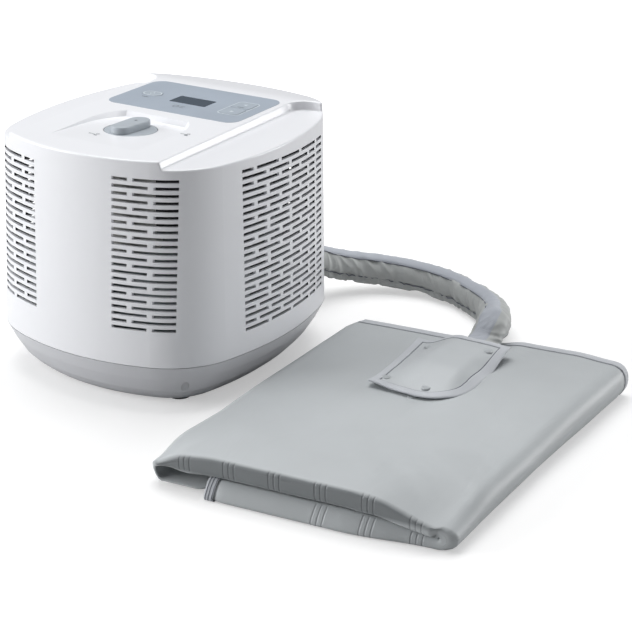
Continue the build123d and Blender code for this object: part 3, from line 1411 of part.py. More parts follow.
# Cover flap over the couplings, with its edge binding and snap fasteners
flap_z = mat_top + SNAP_T + CLEAR + FLAP_T


def flap_layer(low, high):
    """A layer that follows the flap's arch, between two heights from the flap's top side."""
    with BuildPart() as layer:
        for y, rise in FLAP_STATIONS:
            with BuildSketch(Plane.XZ.offset(-y)):
                with BuildLine():
                    top = [(FLAP_X + x, flap_z + high + rise * share) for x, share in FLAP_ARCH]
                    bottom = [(FLAP_X + x, flap_z + low + rise * share) for x, share in reversed(FLAP_ARCH)]
                    Polyline(*top, *bottom, close=True)
                make_face()
        loft(ruled=True)
    return layer.part


def flap_plan(inset):
    """The flap's outline in plan, square at its sewn edge and rounded in front."""
    with BuildSketch() as plan:
        with Locations((FLAP_X, FLAP_HINGE_Y)):
            Rectangle(FLAP_W - 2 * inset, FLAP_L - inset, align=(Align.CENTER, Align.MAX))
        fillet(plan.vertices().group_by(Axis.Y)[0], FLAP_CORNER_R - inset)
    return plan.sketch


flap_blank = flap_layer(-FLAP_T, 0)
with BuildPart() as cover_flap:
    with BuildSketch():
        add(flap_plan(0))
    extrude(amount=2 * flap_z)
    add(flap_blank, mode=Mode.INTERSECT)
cover_flap.part.label = "cover_flap"

binding_blank = flap_layer(0, FLAP_TAPE_T)
with BuildPart() as flap_binding:
    with BuildSketch():
        add(flap_plan(0))
        add(flap_plan(FLAP_HEM), mode=Mode.SUBTRACT)
    extrude(amount=2 * flap_z)
    add(binding_blank, mode=Mode.INTERSECT)
flap_binding.part.label = "flap_binding"

with BuildPart() as snap_caps:
    for spots, z in ((SIDE_SNAPS, flap_z), ([FRONT_SNAP], flap_z + FLAP_LIFT)):
        with BuildSketch(Plane.XY.offset(z)):
            with Locations(*spots):
                Circle(SNAP_R)
        extrude(amount=SNAP_T)
snap_caps.part.label = "snap_caps"

with BuildPart() as snap_studs:
    with BuildSketch(Plane.XY.offset(mat_top)):
        with Locations(*SIDE_SNAPS, FRONT_SNAP):
            Circle(SNAP_R)
    extrude(amount=SNAP_T)
snap_studs.part.label = "snap_studs"

# Move the set so that its origin is the middle of its outline on the floor, and write the files
cords = [hose_sleeve, supply_hose, return_hose]
pieces = [
    upper_housing, base_housing, rubber_feet, housing_screws, chassis_plate, control_panel, display_window,
    display_module, control_board, key_switches, board_screws, power_key, temp_up_key, temp_down_key,
    filler_cap, cap_seal, filler_neck, water_tank, tank_gasket, tank_lid, lid_screws, float_stem, level_float,
    pump_housing, pump_cover, pump_motor, pump_impeller, cooler_stand, cold_block, block_insulation,
    peltier_modules, heat_sink, fan_frame, fan_rotor, fan_screws, hose_port, power_inlet, power_board,
    transformer, board_capacitors, tank_suction_hose, pump_feed_hose, block_delivery_hose, tank_return_hose,
    sleeve_neck, hose_couplings, mat_ports, mat, mat_edge_binding, mat_end_binding, cover_flap, flap_binding,
    snap_caps, snap_studs,
]
boxes = [piece.part.bounding_box() for piece in pieces]
middle_x = (min(box.min.X for box in boxes) + max(box.max.X for box in boxes)) / 2
middle_y = (min(box.min.Y for box in boxes) + max(box.max.Y for box in boxes)) / 2
home = Location((-middle_x, -middle_y, 0))
print("moved by", round(-middle_x, 4), round(-middle_y, 4))
for piece in pieces + cords:
    export_step(piece.part.moved(home), f"parts/{piece.part.label}.step")
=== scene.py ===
import math

import bmesh
import bpy
from mathutils import Matrix, Vector, noise
from mathutils.bvhtree import BVHTree


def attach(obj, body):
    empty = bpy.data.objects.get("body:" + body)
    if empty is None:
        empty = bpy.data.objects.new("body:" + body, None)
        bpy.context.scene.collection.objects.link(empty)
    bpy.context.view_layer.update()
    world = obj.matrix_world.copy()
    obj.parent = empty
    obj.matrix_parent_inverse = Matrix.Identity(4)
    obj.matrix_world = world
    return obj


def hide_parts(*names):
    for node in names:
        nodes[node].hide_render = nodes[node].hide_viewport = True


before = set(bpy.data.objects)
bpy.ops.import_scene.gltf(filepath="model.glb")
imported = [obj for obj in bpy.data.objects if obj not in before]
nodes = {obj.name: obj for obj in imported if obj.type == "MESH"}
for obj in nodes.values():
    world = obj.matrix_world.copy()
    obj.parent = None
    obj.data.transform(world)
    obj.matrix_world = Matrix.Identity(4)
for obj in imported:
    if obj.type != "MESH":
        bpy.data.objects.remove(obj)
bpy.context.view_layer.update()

# The CAD source's millimetres, moved to the row frame as that source moves its pieces
MM = 0.001
HOME_X = -135.25
HOME_Y = 31.6364


def at(x, y, z):
    """A point of the CAD source, in metres in the row frame."""
    return Vector(((x + HOME_X) * MM, (y + HOME_Y) * MM, z * MM))


# Camera, from the chiller's outline, seam and deck in the photograph
CAMERA_TURN = math.radians(36.313)
CAMERA_RISE = math.radians(19.171)
CAMERA_ROLL = math.radians(1.722)
CAMERA_YAW = math.radians(-6.176)
CAMERA_PITCH = math.radians(2.769)
CAMERA_DISTANCE = 1330.4
CAMERA_AIM = (0, 0, 100)
CAMERA_LENS = 83.02


def away(turn, rise):
    """Direction from the object to a camera turned and raised by these angles."""
    return Vector((math.sin(turn) * math.cos(rise), -math.cos(turn) * math.cos(rise), math.sin(rise)))


camera_data = bpy.data.cameras.new("camera")
camera_data.sensor_width = 36
camera_data.lens = CAMERA_LENS
camera_data.clip_end = 20
camera = bpy.data.objects.new("camera", camera_data)
bpy.context.scene.collection.objects.link(camera)
bpy.context.scene.camera = camera
look = -away(CAMERA_TURN + CAMERA_YAW, CAMERA_RISE + CAMERA_PITCH)
side = look.cross(Vector((0, 0, 1))).normalized()
top = side.cross(look)
turned_side = math.cos(CAMERA_ROLL) * side + math.sin(CAMERA_ROLL) * top
turned_top = math.cos(CAMERA_ROLL) * top - math.sin(CAMERA_ROLL) * side
eye = at(*CAMERA_AIM) + away(CAMERA_TURN, CAMERA_RISE) * CAMERA_DISTANCE * MM
axes = Matrix((turned_side, turned_top, -look)).transposed()
camera.matrix_world = Matrix.Translation(eye) @ axes.to_4x4()


# Materials
def material(name, colour, roughness, **sockets):
    """A material with its shader's colour, roughness and other sockets set."""
    made = bpy.data.materials.new(name)
    made.use_nodes = True
    shader = made.node_tree.nodes["Principled BSDF"]
    shader.inputs["Base Color"].default_value = (*colour, 1)
    shader.inputs["Roughness"].default_value = roughness
    for socket, value in sockets.items():
        shader.inputs[socket.replace("_", " ")].default_value = value
    return made


def node(tree, kind, **values):
    """A node of that kind in a material's or a group's tree, with its sockets or settings set."""
    new = tree.nodes.new("ShaderNode" + kind)
    for name, value in values.items():
        title = name.replace("_", " ")
        if title in new.inputs:
            new.inputs[title].default_value = value
        else:
            setattr(new, name, value)
    return new


def link(tree, start, end):
    """Joins an output socket to an input socket."""
    tree.links.new(start, end)


def shader_of(made):
    """The shader of a material."""
    return made.node_tree.nodes["Principled BSDF"]


def coordinates(tree, stretch=(1, 1, 1), turn=0.0):
    """The object's coordinates, stretched and turned about Z."""
    place = node(tree, "TexCoord")
    mapped = node(tree, "Mapping", Scale=stretch, Rotation=(0, 0, turn))
    link(tree, place.outputs["Object"], mapped.inputs["Vector"])
    return mapped.outputs["Vector"]


# Effects that several materials share, each built once as a group. Noise wanders between these two values
NOISE_LOW = 0.3
NOISE_HIGH = 0.7


def effect(name, inputs, outputs):
    """A group with a vector input and other sockets by name and kind, with its inputs and outputs inside."""
    group = bpy.data.node_groups.new(name, "ShaderNodeTree")
    group.interface.new_socket("Vector", in_out="INPUT", socket_type="NodeSocketVector")
    for title, kind in inputs:
        group.interface.new_socket(title, in_out="INPUT", socket_type="NodeSocket" + kind)
    for title, kind in outputs:
        group.interface.new_socket(title, in_out="OUTPUT", socket_type="NodeSocket" + kind)
    return group, group.nodes.new("NodeGroupInput").outputs, group.nodes.new("NodeGroupOutput").inputs


def colour_patches_group():
    """Soft patches that wander between a darker and a lighter colour."""
    inputs = [("Scale", "Float"), ("Detail", "Float"), ("Darker", "Color"), ("Lighter", "Color")]
    group, given, result = effect("colour_patches", inputs, [("Color", "Color")])
    patches = node(group, "TexNoise")
    share = node(group, "MapRange", From_Min=NOISE_LOW, From_Max=NOISE_HIGH)
    mixed = node(group, "Mix", data_type="RGBA")
    for title in ("Vector", "Scale", "Detail"):
        link(group, given[title], patches.inputs[title])
    link(group, patches.outputs["Fac"], share.inputs["Value"])
    link(group, share.outputs["Result"], mixed.inputs[0])
    link(group, given["Darker"], mixed.inputs[6])
    link(group, given["Lighter"], mixed.inputs[7])
    link(group, mixed.outputs[2], result["Color"])
    return group


def roughness_patches_group():
    """Patches of roughness between two values, as handled plastic has."""
    inputs = [("Scale", "Float"), ("Low", "Float"), ("High", "Float")]
    group, given, result = effect("roughness_patches", inputs, [("Roughness", "Float")])
    patches = node(group, "TexNoise", Detail=4.0)
    span = node(group, "MapRange", From_Min=NOISE_LOW, From_Max=NOISE_HIGH)
    for title in ("Vector", "Scale"):
        link(group, given[title], patches.inputs[title])
    link(group, patches.outputs["Fac"], span.inputs["Value"])
    link(group, given["Low"], span.inputs["To Min"])
    link(group, given["High"], span.inputs["To Max"])
    link(group, span.outputs["Result"], result["Roughness"])
    return group


def pebble_group():
    """The fine pebble of a moulded or cast surface."""
    group, given, result = effect("pebble", [("Scale", "Float")], [("Height", "Float")])
    pebbles = node(group, "TexNoise", Detail=2.0)
    for title in ("Vector", "Scale"):
        link(group, given[title], pebbles.inputs[title])
    link(group, pebbles.outputs["Fac"], result["Height"])
    return group


def brushed_group():
    """Fine marks of brushed metal, as a height and as a roughness between two values."""
    inputs = [("Low", "Float"), ("High", "Float")]
    group, given, result = effect("brushed", inputs, [("Height", "Float"), ("Roughness", "Float")])
    marks = node(group, "TexNoise", Scale=600.0, Detail=4.0)
    span = node(group, "MapRange")
    link(group, given["Vector"], marks.inputs["Vector"])
    link(group, marks.outputs["Fac"], span.inputs["Value"])
    link(group, given["Low"], span.inputs["To Min"])
    link(group, given["High"], span.inputs["To Max"])
    link(group, marks.outputs["Fac"], result["Height"])
    link(group, span.outputs["Result"], result["Roughness"])
    return group


def weave_group():
    """Two crossed sets of threads."""
    group, given, result = effect("weave", [("Scale", "Float")], [("Height", "Float")])
    crossed = node(group, "Math", operation="MULTIPLY")
    for direction, side in (("X", 0), ("Y", 1)):
        threads = node(group, "TexWave", bands_direction=direction, Distortion=0.6, Detail=1.0)
        link(group, given["Vector"], threads.inputs["Vector"])
        link(group, given["Scale"], threads.inputs["Scale"])
        link(group, threads.outputs["Fac"], crossed.inputs[side])
    link(group, crossed.outputs["Value"], result["Height"])
    return group


def creases_group():
    """Soft creases of cloth that has been handled."""
    group, given, result = effect("creases", [], [("Height", "Float")])
    creases = node(group, "TexNoise", Scale=22.0, Detail=6.0, Roughness=0.55, Distortion=1.2)
    link(group, given["Vector"], creases.inputs["Vector"])
    link(group, creases.outputs["Fac"], result["Height"])
    return group


COLOUR_PATCHES = colour_patches_group()
ROUGHNESS_PATCHES = roughness_patches_group()
PEBBLE = pebble_group()
BRUSHED = brushed_group()
WEAVE = weave_group()
CREASES = creases_group()


def placed(made, group, vector, **values):
    """A group placed in a material, with its own values."""
    new = node(made.node_tree, "Group", node_tree=group)
    link(made.node_tree, vector, new.inputs["Vector"])
    for title, value in values.items():
        new.inputs[title].default_value = value
    return new.outputs


def bump(made, height, strength, distance=0.0002):
    """Adds a bump of that depth in metres, from a height socket, on top of the bumps already there."""
    tree = made.node_tree
    raised = node(tree, "Bump", Strength=strength, Distance=distance)
    link(tree, height, raised.inputs["Height"])
    before = shader_of(made).inputs["Normal"].links
    if before:
        link(tree, before[0].from_socket, raised.inputs["Normal"])
    link(tree, raised.outputs["Normal"], shader_of(made).inputs["Normal"])


def vary_colour(made, colour, share, scale, detail=3.0):
    """Lets the base colour wander by a share of itself in soft patches."""
    tree = made.node_tree
    darker = (*[part * (1 - share) for part in colour], 1)
    lighter = (*[min(1, part * (1 + share)) for part in colour], 1)
    values = {"Scale": scale, "Detail": detail, "Darker": darker, "Lighter": lighter}
    patches = placed(made, COLOUR_PATCHES, coordinates(tree), **values)
    link(tree, patches["Color"], shader_of(made).inputs["Base Color"])


def plastic(name, colour, roughness, pebble=0.0, pebble_scale=2500.0, wander=0.015, **sockets):
    """Moulded plastic: smooth, or with a fine pebble and patches of handling."""
    made = material(name, colour, roughness, **sockets)
    tree = made.node_tree
    if not pebble:
        vary_colour(made, colour, wander, scale=6.0, detail=0.0)
        return made
    vary_colour(made, colour, wander, scale=18.0)
    values = {"Scale": 40.0, "Low": roughness * 0.85, "High": roughness * 1.2}
    patches = placed(made, ROUGHNESS_PATCHES, coordinates(tree), **values)
    link(tree, patches["Roughness"], shader_of(made).inputs["Roughness"])
    grain = placed(made, PEBBLE, coordinates(tree), Scale=pebble_scale)
    bump(made, grain["Height"], pebble)
    return made


def metal(name, colour, roughness, brushed=(1, 1, 1)):
    """Metal with fine marks, drawn out where brushed stretches their coordinates."""
    made = material(name, colour, roughness, Metallic=1.0)
    tree = made.node_tree
    marks = placed(made, BRUSHED, coordinates(tree, brushed), Low=roughness * 0.7, High=roughness * 1.4)
    link(tree, marks["Roughness"], shader_of(made).inputs["Roughness"])
    bump(made, marks["Height"], strength=0.15, distance=0.0001)
    return made


def fabric(name, colour, roughness, pitch=0.0009, strength=0.12, crease=0.3, turn=0.0, sheen=0.12):
    """Coated or woven cloth: soft creases, patches of shade, and threads with one every pitch metres."""
    made = material(name, colour, roughness, Sheen_Weight=sheen)
    tree = made.node_tree
    vary_colour(made, colour, share=0.035, scale=14.0)
    creases = placed(made, CREASES, coordinates(tree, stretch=(1.0, 0.35, 1.0), turn=0.5))
    bump(made, creases["Height"], crease, distance=0.004)
    threads = placed(made, WEAVE, coordinates(tree, turn=turn), Scale=math.pi / (10 * pitch))
    bump(made, threads["Height"], strength)
    return made


# The housings are new and clean, and their colour hardly wanders
STILL = 0.006
shell_white = plastic(
    "shell_white",
    (0.86, 0.87, 0.9),
    0.3,
    wander=STILL,
    Coat_Weight=0.25,
    Coat_Roughness=0.2,
)
base_grey = plastic("base_grey", (0.65, 0.66, 0.69), 0.3, wander=STILL, Coat_Weight=0.15)
panel_grey = plastic("panel_grey", (0.345, 0.395, 0.46), 0.38, pebble=0.08)
key_grey = plastic("key_grey", (0.36, 0.41, 0.465), 0.42, pebble=0.08)
cap_grey = plastic("cap_grey", (0.42, 0.46, 0.5), 0.36, pebble=0.08)
window_dark = plastic("window_dark", (0.036, 0.06, 0.09), 0.12, wander=0.05, Coat_Weight=0.5)
print_pale = plastic("print_pale", (0.62, 0.68, 0.72), 0.5)
print_dark = plastic("print_dark", (0.13, 0.15, 0.17), 0.55)
inner_black = plastic("inner_black", (0.03, 0.03, 0.032), 0.5, pebble=0.2)
inner_white = plastic("inner_white", (0.62, 0.62, 0.6), 0.5, pebble=0.15)
part_dark = plastic("part_dark", (0.05, 0.05, 0.055), 0.45, pebble=0.15)
ceramic = plastic("ceramic", (0.72, 0.71, 0.68), 0.6, pebble=0.3)
tank_clear = plastic("tank_clear", (0.7, 0.76, 0.8), 0.25, Transmission_Weight=0.45, IOR=1.45)
silicone = plastic("silicone", (0.6, 0.63, 0.64), 0.35, Transmission_Weight=0.25, Subsurface_Weight=0.1)
seal_rubber = plastic("seal_rubber", (0.3, 0.31, 0.33), 0.7, pebble=0.3)
foot_rubber = plastic("foot_rubber", (0.08, 0.08, 0.085), 0.8, pebble=0.4)
foam = plastic("foam", (0.06, 0.06, 0.065), 0.95, pebble=0.9, pebble_scale=900.0)
board_green = plastic("board_green", (0.03, 0.14, 0.06), 0.35, pebble=0.1, Coat_Weight=0.4)
snap_clear = plastic("snap_clear", (0.6, 0.63, 0.65), 0.3, Transmission_Weight=0.3)
screw_steel = metal("screw_steel", (0.6, 0.6, 0.61), 0.3)
sheet_steel = metal("sheet_steel", (0.55, 0.56, 0.58), 0.35, brushed=(1, 12, 1))
aluminium = metal("aluminium", (0.75, 0.75, 0.76), 0.32, brushed=(14, 1, 1))

# The mat lies turned in plan by this much, and so do its threads
MAT_TURN = math.radians(7.5)
mat_cloth = fabric("mat_cloth", (0.455, 0.48, 0.493), 0.5, crease=0.22, turn=MAT_TURN)
flap_cloth = fabric("flap_cloth", (0.475, 0.5, 0.515), 0.5)
sleeve_cloth = fabric("sleeve_cloth", (0.41, 0.425, 0.42), 0.52)
sleeve_tape_cloth = fabric(
    "sleeve_tape_cloth",
    (0.4, 0.425, 0.47),
    0.7,
    pitch=0.0014,
    strength=0.6,
    crease=0.1,
    sheen=0.2,
)
tape_cloth = fabric(
    "tape_cloth",
    (0.49, 0.51, 0.54),
    0.75,
    pitch=0.0012,
    strength=0.5,
    crease=0.1,
    turn=MAT_TURN,
    sheen=0.25,
)
thread_dark = plastic("thread_dark", (0.16, 0.17, 0.2), 0.8, pebble=0.5)

# Welded channel lines on the mat's front, in groups of three and in metres: the middle group, the pitch of
# the groups, the gap between lines, half a line's width, half its core's, where the bottom layer's lines
# start, and the height above which the lines are the top layer's
CHANNEL_X = at(285, 0, 0).x
CHANNEL_PITCH = 0.0365
CHANNEL_GAP = 0.0043
CHANNEL_HALF_W = 0.0009
CHANNEL_CORE = 0.0002
LOWER_CHANNELS_X = at(270, 0, 0).x
LIP_Z = 0.0185
CHANNEL_SHADE = (0.74, 0.74, 0.76, 1)
# Painted shade for the mat's faces that look to the front, and the way that front looks
FRONT_PAINTED_SHADE = (0.42, 0.43, 0.435, 1)
FRONT_WAY = (math.sin(MAT_TURN), -math.cos(MAT_TURN), 0)


def count(tree, operation, first, second=0.0):
    """The result of a sum on two numbers or sockets."""
    step = node(tree, "Math", operation=operation)
    for index, value in enumerate((first, second)):
        if isinstance(value, float):
            step.inputs[index].default_value = value
        else:
            link(tree, value, step.inputs[index])
    return step.outputs["Value"]


def shaded(made, share, shade):
    """Multiplies a material's base colour by a shade, by the share that a socket gives."""
    tree = made.node_tree
    base = shader_of(made).inputs["Base Color"]
    mixed = node(tree, "Mix", data_type="RGBA", blend_type="MULTIPLY")
    mixed.inputs[7].default_value = shade
    link(tree, share, mixed.inputs[0])
    link(tree, base.links[0].from_socket, mixed.inputs[6])
    link(tree, mixed.outputs[2], base)


def channel_lines(tree, x):
    """1 on the three lines of each group of channels, and 0 between them."""
    groups = count(tree, "DIVIDE", count(tree, "SUBTRACT", x, CHANNEL_X), CHANNEL_PITCH)
    turn = count(tree, "FRACT", count(tree, "ADD", groups, 10.5))
    from_middle = count(tree, "ABSOLUTE", count(tree, "SUBTRACT", turn, 0.5))
    from_middle = count(tree, "MULTIPLY", from_middle, CHANNEL_PITCH)
    lines = []
    for offset in (0.0, CHANNEL_GAP):
        thin = node(tree, "MapRange", From_Min=CHANNEL_HALF_W, From_Max=CHANNEL_CORE)
        off = count(tree, "ABSOLUTE", count(tree, "SUBTRACT", from_middle, offset))
        link(tree, off, thin.inputs["Value"])
        lines.append(thin.outputs["Result"])
    return count(tree, "MAXIMUM", lines[0], lines[1])


def paint_front_shade_and_channels(made):
    """Paints shade on the mat's cloth where it faces the front, most on the lip, and draws the channel lines
    there.
    """
    tree = made.node_tree
    place = node(tree, "NewGeometry")
    spots = node(tree, "SeparateXYZ")
    facing = node(tree, "VectorMath", operation="DOT_PRODUCT")
    facing.inputs[1].default_value = FRONT_WAY
    share = node(tree, "MapRange", From_Min=0.15, From_Max=0.8)
    raised = node(tree, "MapRange", From_Min=LIP_Z - 0.003, From_Max=LIP_Z + 0.001, To_Min=0.1)
    link(tree, place.outputs["Normal"], facing.inputs[0])
    link(tree, place.outputs["Position"], spots.inputs[0])
    link(tree, facing.outputs["Value"], share.inputs["Value"])
    link(tree, spots.outputs["Z"], raised.inputs["Value"])
    # Painted shade where the cloth faces the front, a tenth as strong below the lip
    shaded(made, count(tree, "MULTIPLY", share.outputs["Result"], raised.outputs["Result"]), FRONT_PAINTED_SHADE)
    on_lip = count(tree, "GREATER_THAN", spots.outputs["Z"], LIP_Z)
    on_lower = count(tree, "GREATER_THAN", spots.outputs["X"], LOWER_CHANNELS_X)
    bare = count(tree, "MAXIMUM", on_lip, on_lower)
    drawn = count(tree, "MULTIPLY", channel_lines(tree, spots.outputs["X"]), bare)
    drawn = count(tree, "MULTIPLY", drawn, share.outputs["Result"])
    shaded(made, count(tree, "MULTIPLY", drawn, 0.8), CHANNEL_SHADE)
    bump(made, count(tree, "MULTIPLY", drawn, -1.0), strength=0.5, distance=0.0008)


# Painted shade on the housing's inner faces, up to just below the deck
INSIDE_PAINTED_SHADE = (0.03, 0.03, 0.035, 1)
INSIDE_TOP = 0.213


def darken_inside(made, centre):
    """Paints shade on the faces below the deck that look towards the housing's middle, where little light
    comes.
    """
    tree = made.node_tree
    place = node(tree, "NewGeometry")
    outward = node(tree, "VectorMath", operation="SUBTRACT")
    outward.inputs[1].default_value = centre
    flat = node(tree, "VectorMath", operation="MULTIPLY")
    flat.inputs[1].default_value = (1, 1, 0)
    unit = node(tree, "VectorMath", operation="NORMALIZE")
    facing = node(tree, "VectorMath", operation="DOT_PRODUCT")
    inside = node(tree, "MapRange", From_Min=-0.1, From_Max=-0.25)
    heights = node(tree, "SeparateXYZ")
    below = node(tree, "MapRange", From_Min=INSIDE_TOP, From_Max=INSIDE_TOP - 0.001)
    mixed = node(tree, "Mix", data_type="RGBA")
    mixed.inputs[7].default_value = INSIDE_PAINTED_SHADE
    base = shader_of(made).inputs["Base Color"]
    link(tree, place.outputs["Position"], outward.inputs[0])
    link(tree, outward.outputs["Vector"], flat.inputs[0])
    link(tree, flat.outputs["Vector"], unit.inputs[0])
    link(tree, unit.outputs["Vector"], facing.inputs[0])
    link(tree, place.outputs["True Normal"], facing.inputs[1])
    link(tree, facing.outputs["Value"], inside.inputs["Value"])
    link(tree, place.outputs["Position"], heights.inputs[0])
    link(tree, heights.outputs["Z"], below.inputs["Value"])
    link(tree, count(tree, "MULTIPLY", inside.outputs["Result"], below.outputs["Result"]), mixed.inputs[0])
    link(tree, base.links[0].from_socket, mixed.inputs[6])
    link(tree, mixed.outputs[2], base)


# Painted shade inside the housing
darken_inside(shell_white, at(0, 0, 0))
# Painted shade on the mat's front faces, with its channel lines
paint_front_shade_and_channels(mat_cloth)

LOOKS = [
    (shell_white, ["upper_housing"]),
    (base_grey, ["base_housing"]),
    (foot_rubber, ["rubber_feet"]),
    (panel_grey, ["control_panel"]),
    (window_dark, ["display_window"]),
    (key_grey, ["power_key", "temp_up_key", "temp_down_key"]),
    (cap_grey, ["filler_cap"]),
    (seal_rubber, ["cap_seal", "tank_gasket"]),
    (screw_steel, ["housing_screws", "board_screws", "lid_screws", "fan_screws"]),
    (sheet_steel, ["chassis_plate", "cooler_stand"]),
    (aluminium, ["heat_sink", "cold_block"]),
    (part_dark, ["display_module", "key_switches", "pump_motor", "transformer"]),
    (part_dark, ["board_capacitors", "power_inlet"]),
    (board_green, ["control_board", "power_board"]),
    (inner_white, ["filler_neck", "float_stem", "hose_port", "level_float", "hose_couplings", "mat_ports"]),
    (tank_clear, ["water_tank", "tank_lid"]),
    (inner_black, ["pump_housing", "pump_cover", "pump_impeller", "fan_frame", "fan_rotor"]),
    (foam, ["block_insulation"]),
    (ceramic, ["peltier_modules"]),
    (silicone, ["tank_suction_hose", "pump_feed_hose", "block_delivery_hose", "tank_return_hose"]),
    (snap_clear, ["snap_caps", "snap_studs"]),
]
for look_of, names in LOOKS:
    for name in names:
        nodes[name].data.materials.clear()
        nodes[name].data.materials.append(look_of)


# Making pieces
def new_piece(name, shape, made, body="chiller_and_mat", smooth=True):
    """An object from a bmesh, with its material, riding on a body."""
    mesh = bpy.data.meshes.new(name)
    for face in shape.faces:
        face.smooth = smooth
    shape.to_mesh(mesh)
    shape.free()
    piece = bpy.data.objects.new(name, mesh)
    bpy.context.scene.collection.objects.link(piece)
    piece.data.materials.append(made)
    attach(piece, body)
    return piece


def surface(across, along, place, weld=0.00002):
    """A grid whose points are put where place(u, v) says, u and v from 0 to 1, with meeting edges welded."""
    shape = bmesh.new()
    bmesh.ops.create_grid(shape, x_segments=across, y_segments=along, size=0.5)
    for vertex in shape.verts:
        vertex.co = place(vertex.co.x + 0.5, vertex.co.y + 0.5)
    bmesh.ops.remove_doubles(shape, verts=shape.verts, dist=weld)
    bmesh.ops.recalc_face_normals(shape, faces=shape.faces)
    return shape


def ease(value, start, end):
    """0 before start, 1 after end, and smooth between them."""
    share = min(1.0, max(0.0, (value - start) / (end - start)))
    return share * share * (3 - 2 * share)


def blend(first, second, share):
    """The value at a share of the way from the first to the second."""
    return first + (second - first) * share


# The hoses' route, as in the CAD source
PORT_POINT = Vector((40, 146, 56))
PORT_AXIS = Vector((0.13078, 0.93055, -0.34202))
PORT_RUN = 29.0
HOSE_SPACING = 11.6
HOSE_OUT = 0.3
HOSE_R = 5.0
HOSE_ROUTE = [
    (52, 197, 35.5),
    (67, 219, 28.5),
    (88, 238, 24),
    (113, 251, 20.5),
    (141, 256, 18.5),
    (170, 252, 17),
    (197, 241, 16),
    (221, 224, 16.5),
    (238, 202, 19.5),
    (250, 176, 26.5),
    (260, 150, 34),
    (270, 126, 42.5),
]
SLEEVE_R = 14.5
NECK_END = (272, 88, 34.05)
COUPLING_END = (272, 78, 34.05)
sleeve_route = [PORT_POINT, PORT_POINT + PORT_AXIS * PORT_RUN] + [Vector(point) for point in HOSE_ROUTE]
hose_route = sleeve_route + [Vector(NECK_END), Vector(COUPLING_END)]


def beside(points, offset):
    """The route moved sideways in plan by offset, to the right of its run."""
    ahead = points[1:] + [points[-1] + Vector((0, -1, 0))]
    behind = [points[0] - PORT_AXIS] + points[:-1]
    moved = []
    for here, before, after in zip(points, behind, ahead):
        run = after - before
        across = Vector((run.y, -run.x, 0)).normalized()
        moved.append(here + across * offset)
    return moved


def line(name, points, thick=0.0):
    """A NURBS curve with these control points, in the CAD source's millimetres."""
    curve = bpy.data.curves.new(name, "CURVE")
    curve.dimensions = "3D"
    curve.bevel_depth = thick
    curve.bevel_resolution = 5
    curve.resolution_u = 16
    spline = curve.splines.new("NURBS")
    spline.points.add(len(points) - 1)
    for point, spot in zip(spline.points, points):
        point.co = (*at(*spot), 1)
    spline.order_u = 3
    spline.use_endpoint_u = True
    made = bpy.data.objects.new(name, curve)
    bpy.context.scene.collection.objects.link(made)
    return made


def points_along(name, points):
    """The points along a NURBS curve with these control points."""
    made = line(name, points)
    bpy.context.view_layer.update()
    mesh = bpy.data.meshes.new_from_object(made)
    spots = [vertex.co.copy() for vertex in mesh.vertices]
    bpy.data.meshes.remove(mesh)
    bpy.data.objects.remove(made)
    return spots


def lengths(spots):
    """How far along the line each point is."""
    run = [0.0]
    for before, here in zip(spots, spots[1:]):
        run.append(run[-1] + (here - before).length)
    return run


def along_line(spots, run, share):
    """Point and direction at a share of the line's length."""
    wanted = share * run[-1]
    for index in range(len(spots) - 1):
        if run[index + 1] >= wanted or index == len(spots) - 2:
            step = spots[index + 1] - spots[index]
            part = (wanted - run[index]) / max(run[index + 1] - run[index], 1e-9)
            return spots[index] + step * part, step.normalized()


sleeve_spots = points_along("sleeve_line", sleeve_route)
sleeve_run = lengths(sleeve_spots)

for name, offset in (("supply_hose", HOSE_SPACING / 2), ("return_hose", -HOSE_SPACING / 2)):
    route = beside(hose_route, offset)
    route[0] = route[0] + PORT_AXIS * HOSE_OUT
    hose = line(name + "_line", route, HOSE_R * MM)
    hose.data.materials.append(silicone)
    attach(hose, "chiller_and_mat")
    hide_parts(name)

# The gathered sleeve round the hoses. Angles round it are measured from its top
SEAM_ANGLE = math.radians(-134)
HEM_ANGLE = SEAM_ANGLE - 0.12
GROOVE_ANGLE = SEAM_ANGLE + 0.24
TAPE_ANGLE = math.radians(-12)
HEM = 3.2
GROOVE = 1.3
SLEEVE_MOST = 17.8
SLEEVE_REST_R = SLEEVE_R - 0.5
SLEEVE_END_R = SLEEVE_R - 1.2
SLEEVE_END_AT = (362, 369)
SLEEVE_ROWS = 420
SLEEVE_TAPE_W = 15.0


def frames_at(spots, run, share):
    """Centre, upward and outward directions of the sleeve at a share of its length."""
    centre, ahead = along_line(spots, run, share)
    outward = Vector((0, 0, 1)).cross(ahead).normalized()
    upward = ahead.cross(outward).normalized()
    return centre, upward, outward


def pucker(distance, angle, near_seam):
    """How far the gathered cloth stands out, in millimetres."""
    slant = distance + 9.0 * angle
    wave = 0.5 - 2.0 * abs(noise.noise(Vector((slant * 0.055, angle * 0.5, 3.1))))
    ripple = 0.4 - 1.6 * abs(noise.noise(Vector((slant * 0.13, angle * 0.8, 8.7))))
    broad = noise.noise(Vector((distance * 0.03, angle * 0.5, 1.3)))
    return 0.8 * broad + (2.0 + 0.9 * near_seam) * wave + (0.9 + 1.1 * near_seam) * ripple


def near_angle(angle, middle, width, power=2):
    """1 at the middle angle, falling to 0 beyond the width on either side."""
    turn = (angle - middle + math.pi) % (2 * math.pi) - math.pi
    return math.exp(-((turn / width) ** power))


def sleeve_radius(distance, angle):
    """The sleeve's radius in millimetres, by distance along it and angle round it."""
    roll = 1 + 0.9 * noise.noise(Vector((distance * 0.11, 0.5, 4.4)))
    hem = HEM * roll * near_angle(angle, HEM_ANGLE, 0.17)
    groove = GROOVE * near_angle(angle, GROOVE_ANGLE, 0.07)
    gathers = pucker(distance, angle, near_angle(angle, SEAM_ANGLE, 0.6))
    gathers *= 1 - 0.85 * near_angle(angle, TAPE_ANGLE, 0.6, 4)
    radius = min(SLEEVE_MOST, SLEEVE_REST_R + gathers - groove + hem)
    return blend(radius, SLEEVE_END_R, ease(distance, *SLEEVE_END_AT))


